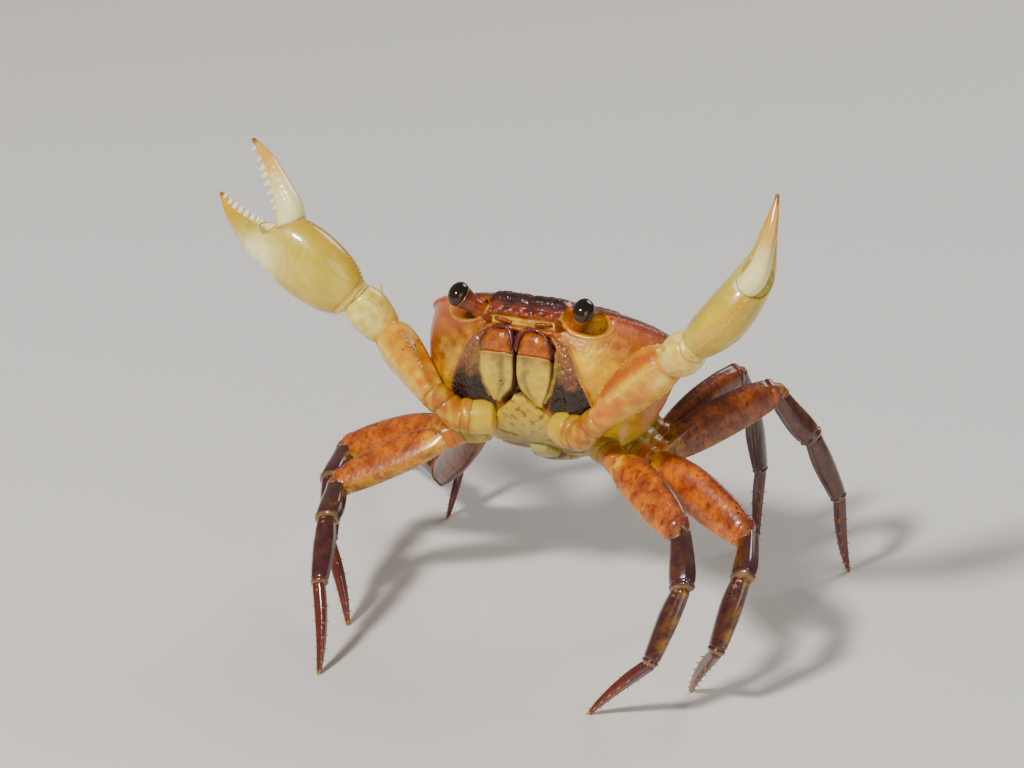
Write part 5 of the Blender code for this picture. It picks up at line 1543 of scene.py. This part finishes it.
# %% Build the claws
def build_claw(side):
    """The five segments of a claw, with tubercles, spine, teeth and joint skin."""
    elbow, wrist, tip, up = (Vector(item) for item in CLAW_JOINTS[side])
    coxa, bend, start = (mirrored(point, side) for point in (CLAW_COXA, CLAW_BEND, CLAW_START))
    path = [(*coxa, 5.6, 5.6), (*coxa.lerp(bend, 0.35), 6.2, 5.8), (*coxa.lerp(bend, 0.7), 6.0, 5.6),
            (*bend, 5.4, 5.2),
            (*bend.lerp(start, 0.5), 5.0, 4.8), (*start, 5.0, 4.6)]
    made = tube_skin(path, 72, 48, claw_base_paint, power=2.1, start_cap=1.0, end_cap=0.8,
                     push=claw_base_push)
    piece(f"claw_base_{side}_skin", [made], BREASTPLATE, [f"claw_base_{side}"],
          BODY)

    start = STANCE @ start
    arm = (elbow - start).length
    place = FLOOR @ limb_frame(start, elbow, Vector((0, 0, 1)))
    rows = [(0, 0, 0, 4.6, 4.4), (0.25 * arm, 0, 0.2, 6.0, 5.2), (0.6 * arm, 0, 0.5, 7.4, 6.2),
            (0.85 * arm, 0, 0.4, 7.6, 6.2), (0.98 * arm, 0, 0, 6.0, 5.4)]
    made = tube_skin(rows, 90, 60, arm_paint(side), power=2.6, start_cap=0.8, end_cap=1.0,
                     push=arm_push(side))
    piece(f"claw_merus_{side}_skin", [made], THIGH_CLAW, [f"claw_merus_{side}"], place)
    draw = np.random.default_rng(91)
    bumps = []
    for at, first, number, root in ((10, 0.22, 26, ORANGE), (85, 0.35, 20, AMBER), (165, 0.3, 20, AMBER),
                                    (16, 0.3, 18, ORANGE),
                                    (78, 0.45, 14, AMBER)):
        spots = np.clip(np.linspace(first, 0.97, number) + 0.012 * draw.normal(size=number), 0.1, 0.99)
        size = draw.uniform(0.15, 0.27, number) * (1.0 if at in (10, 85, 165) else 0.6)
        bumps.append(row_of_studs(rows, camera_side(side, at), spots, size, 1.5 * size, root, CREAM
                                  * 0.9, power=2.6, sharp=0.6,
                                  inset=-0.22))
    piece(f"claw_merus_{side}_tubercles", bumps, HORN, (), place)

    fore = (wrist - elbow).length
    place = FLOOR @ limb_frame(elbow, wrist, up)
    rows = [(0, 0, 0, 5.0, 5.0), (0.35 * fore, 0, 0, 7.0, 6.8), (0.7 * fore, 0, 0, 7.4, 7.0),
            (fore, 0, 0, 5.0, 4.6)]
    made = tube_skin(rows, 56, 60, wrist_paint, power=2.2, start_cap=1.0, end_cap=0.8, push=wrist_push)
    piece(f"claw_carpus_{side}_skin", [made], CLAW, [f"claw_carpus_{side}"], place)
    inward = sign_of(side)
    root, point = Vector((0.5 * fore, inward * 1.8, 1.4)), Vector((0.8 * fore, inward * 5.0, 4.0))
    spine = studs(root[:], (point - root)[:], 1.15, (point - root).length, CREAM, AMBER, sides=14,
                  sharp=1.4)
    small = [Vector((0.25 * fore, inward * 3.1, 1.6)), Vector((0.78 * fore, inward * 2.9, 1.9)),
             Vector((0.9 * fore, inward * 2.4, 1.6))]
    teeth = studs([v[:] for v in small], [(0.2, inward * 1.0, 0.8)] * 3, 0.45, 0.9, CREAM, AMBER,
                  sides=9, sharp=1.2)
    piece(f"claw_carpus_{side}_spines", [spine, teeth], HORN, (), place)

    place = FLOOR @ limb_frame(wrist, tip, up) @ Matrix.Scale(CLAW_SIZE[side], 4)
    rows = swung(PALM_ROWS, side)
    rings, along, turn, first, last = tube(rows, 170, 84, power=2.3, start_cap=1.0, end_cap=0.5,
                                           push=palm_push, cap_rings=8)
    past = np.clip((rings - SEAM_LOW) @ SEAM_OUT, 0.0, None) * soft(rings[..., 2], -0.4, 0.5)
    rings = rings - SEAM_OUT * past[..., None]
    paint = mix(palm_paint(rings, along, turn), BROWN, 0.7 * bell(past, 0.15, 0.15)
                * soft(past, 0.0, 0.05))
    palm = skin(rings, paint, first, last)
    piece(f"palm_{side}_skin", [palm], CLAW, [f"palm_{side}"], place)
    movable = movable_rows(side)
    finger = tube_skin(movable, 96, 52, finger_paint, power=2.2, start_cap=1.0, end_cap=0.6,
                       push=finger_push)
    knobs = studs([(16.2, 2.3, 2.6), (16.2, -2.3, 2.6)], [(0.2, 1, 0), (0.2, -1, 0)], 0.8, 0.5, IVORY,
                  AMBER * 0.8,
                  sharp=0.5, sides=16)
    piece(f"finger_{side}_skin", [finger, knobs], CLAW, [f"finger_{side}"], place)
    teeth = finger_teeth(rows, False, 8, 81) + finger_teeth(movable, True, 8, 82, 296
                                                            if side == "right" else 270)
    piece(f"fingers_{side}_teeth", teeth, HORN, (), place)
    bumps = [row_of_studs(rows, 90, np.linspace(0.06, 0.42, 20), 0.18, 0.24, AMBER, CREAM, sharp=0.5,
                          inset=-0.10),
             row_of_studs(rows, 268, np.linspace(0.05, 0.60, 34), 0.12, 0.15, PALE, CREAM, sharp=0.5,
                          inset=-0.10)]
    piece(f"palm_{side}_granules", bumps, CLAW, (), place)
    folds = [joint_skin(start, elbow, wrist, 4.6, 4.4), joint_skin(elbow, wrist, tip, 4.6, 4.0),
             joint_skin(STANCE @ bend, start, elbow, 4.0, 3.8)]
    piece(f"claw_joints_{side}", folds, SOFT_SKIN)


THIGH_CLAW = shell_finish("claw arm orange", roughness=0.34, coat=0.45, blotch_scale=380.0, blotch=0.35,
                          dark=(0.5, 0.26, 0.12), bump=0.14, freckling=0.6)
for side in SIDES:
    build_claw(side)
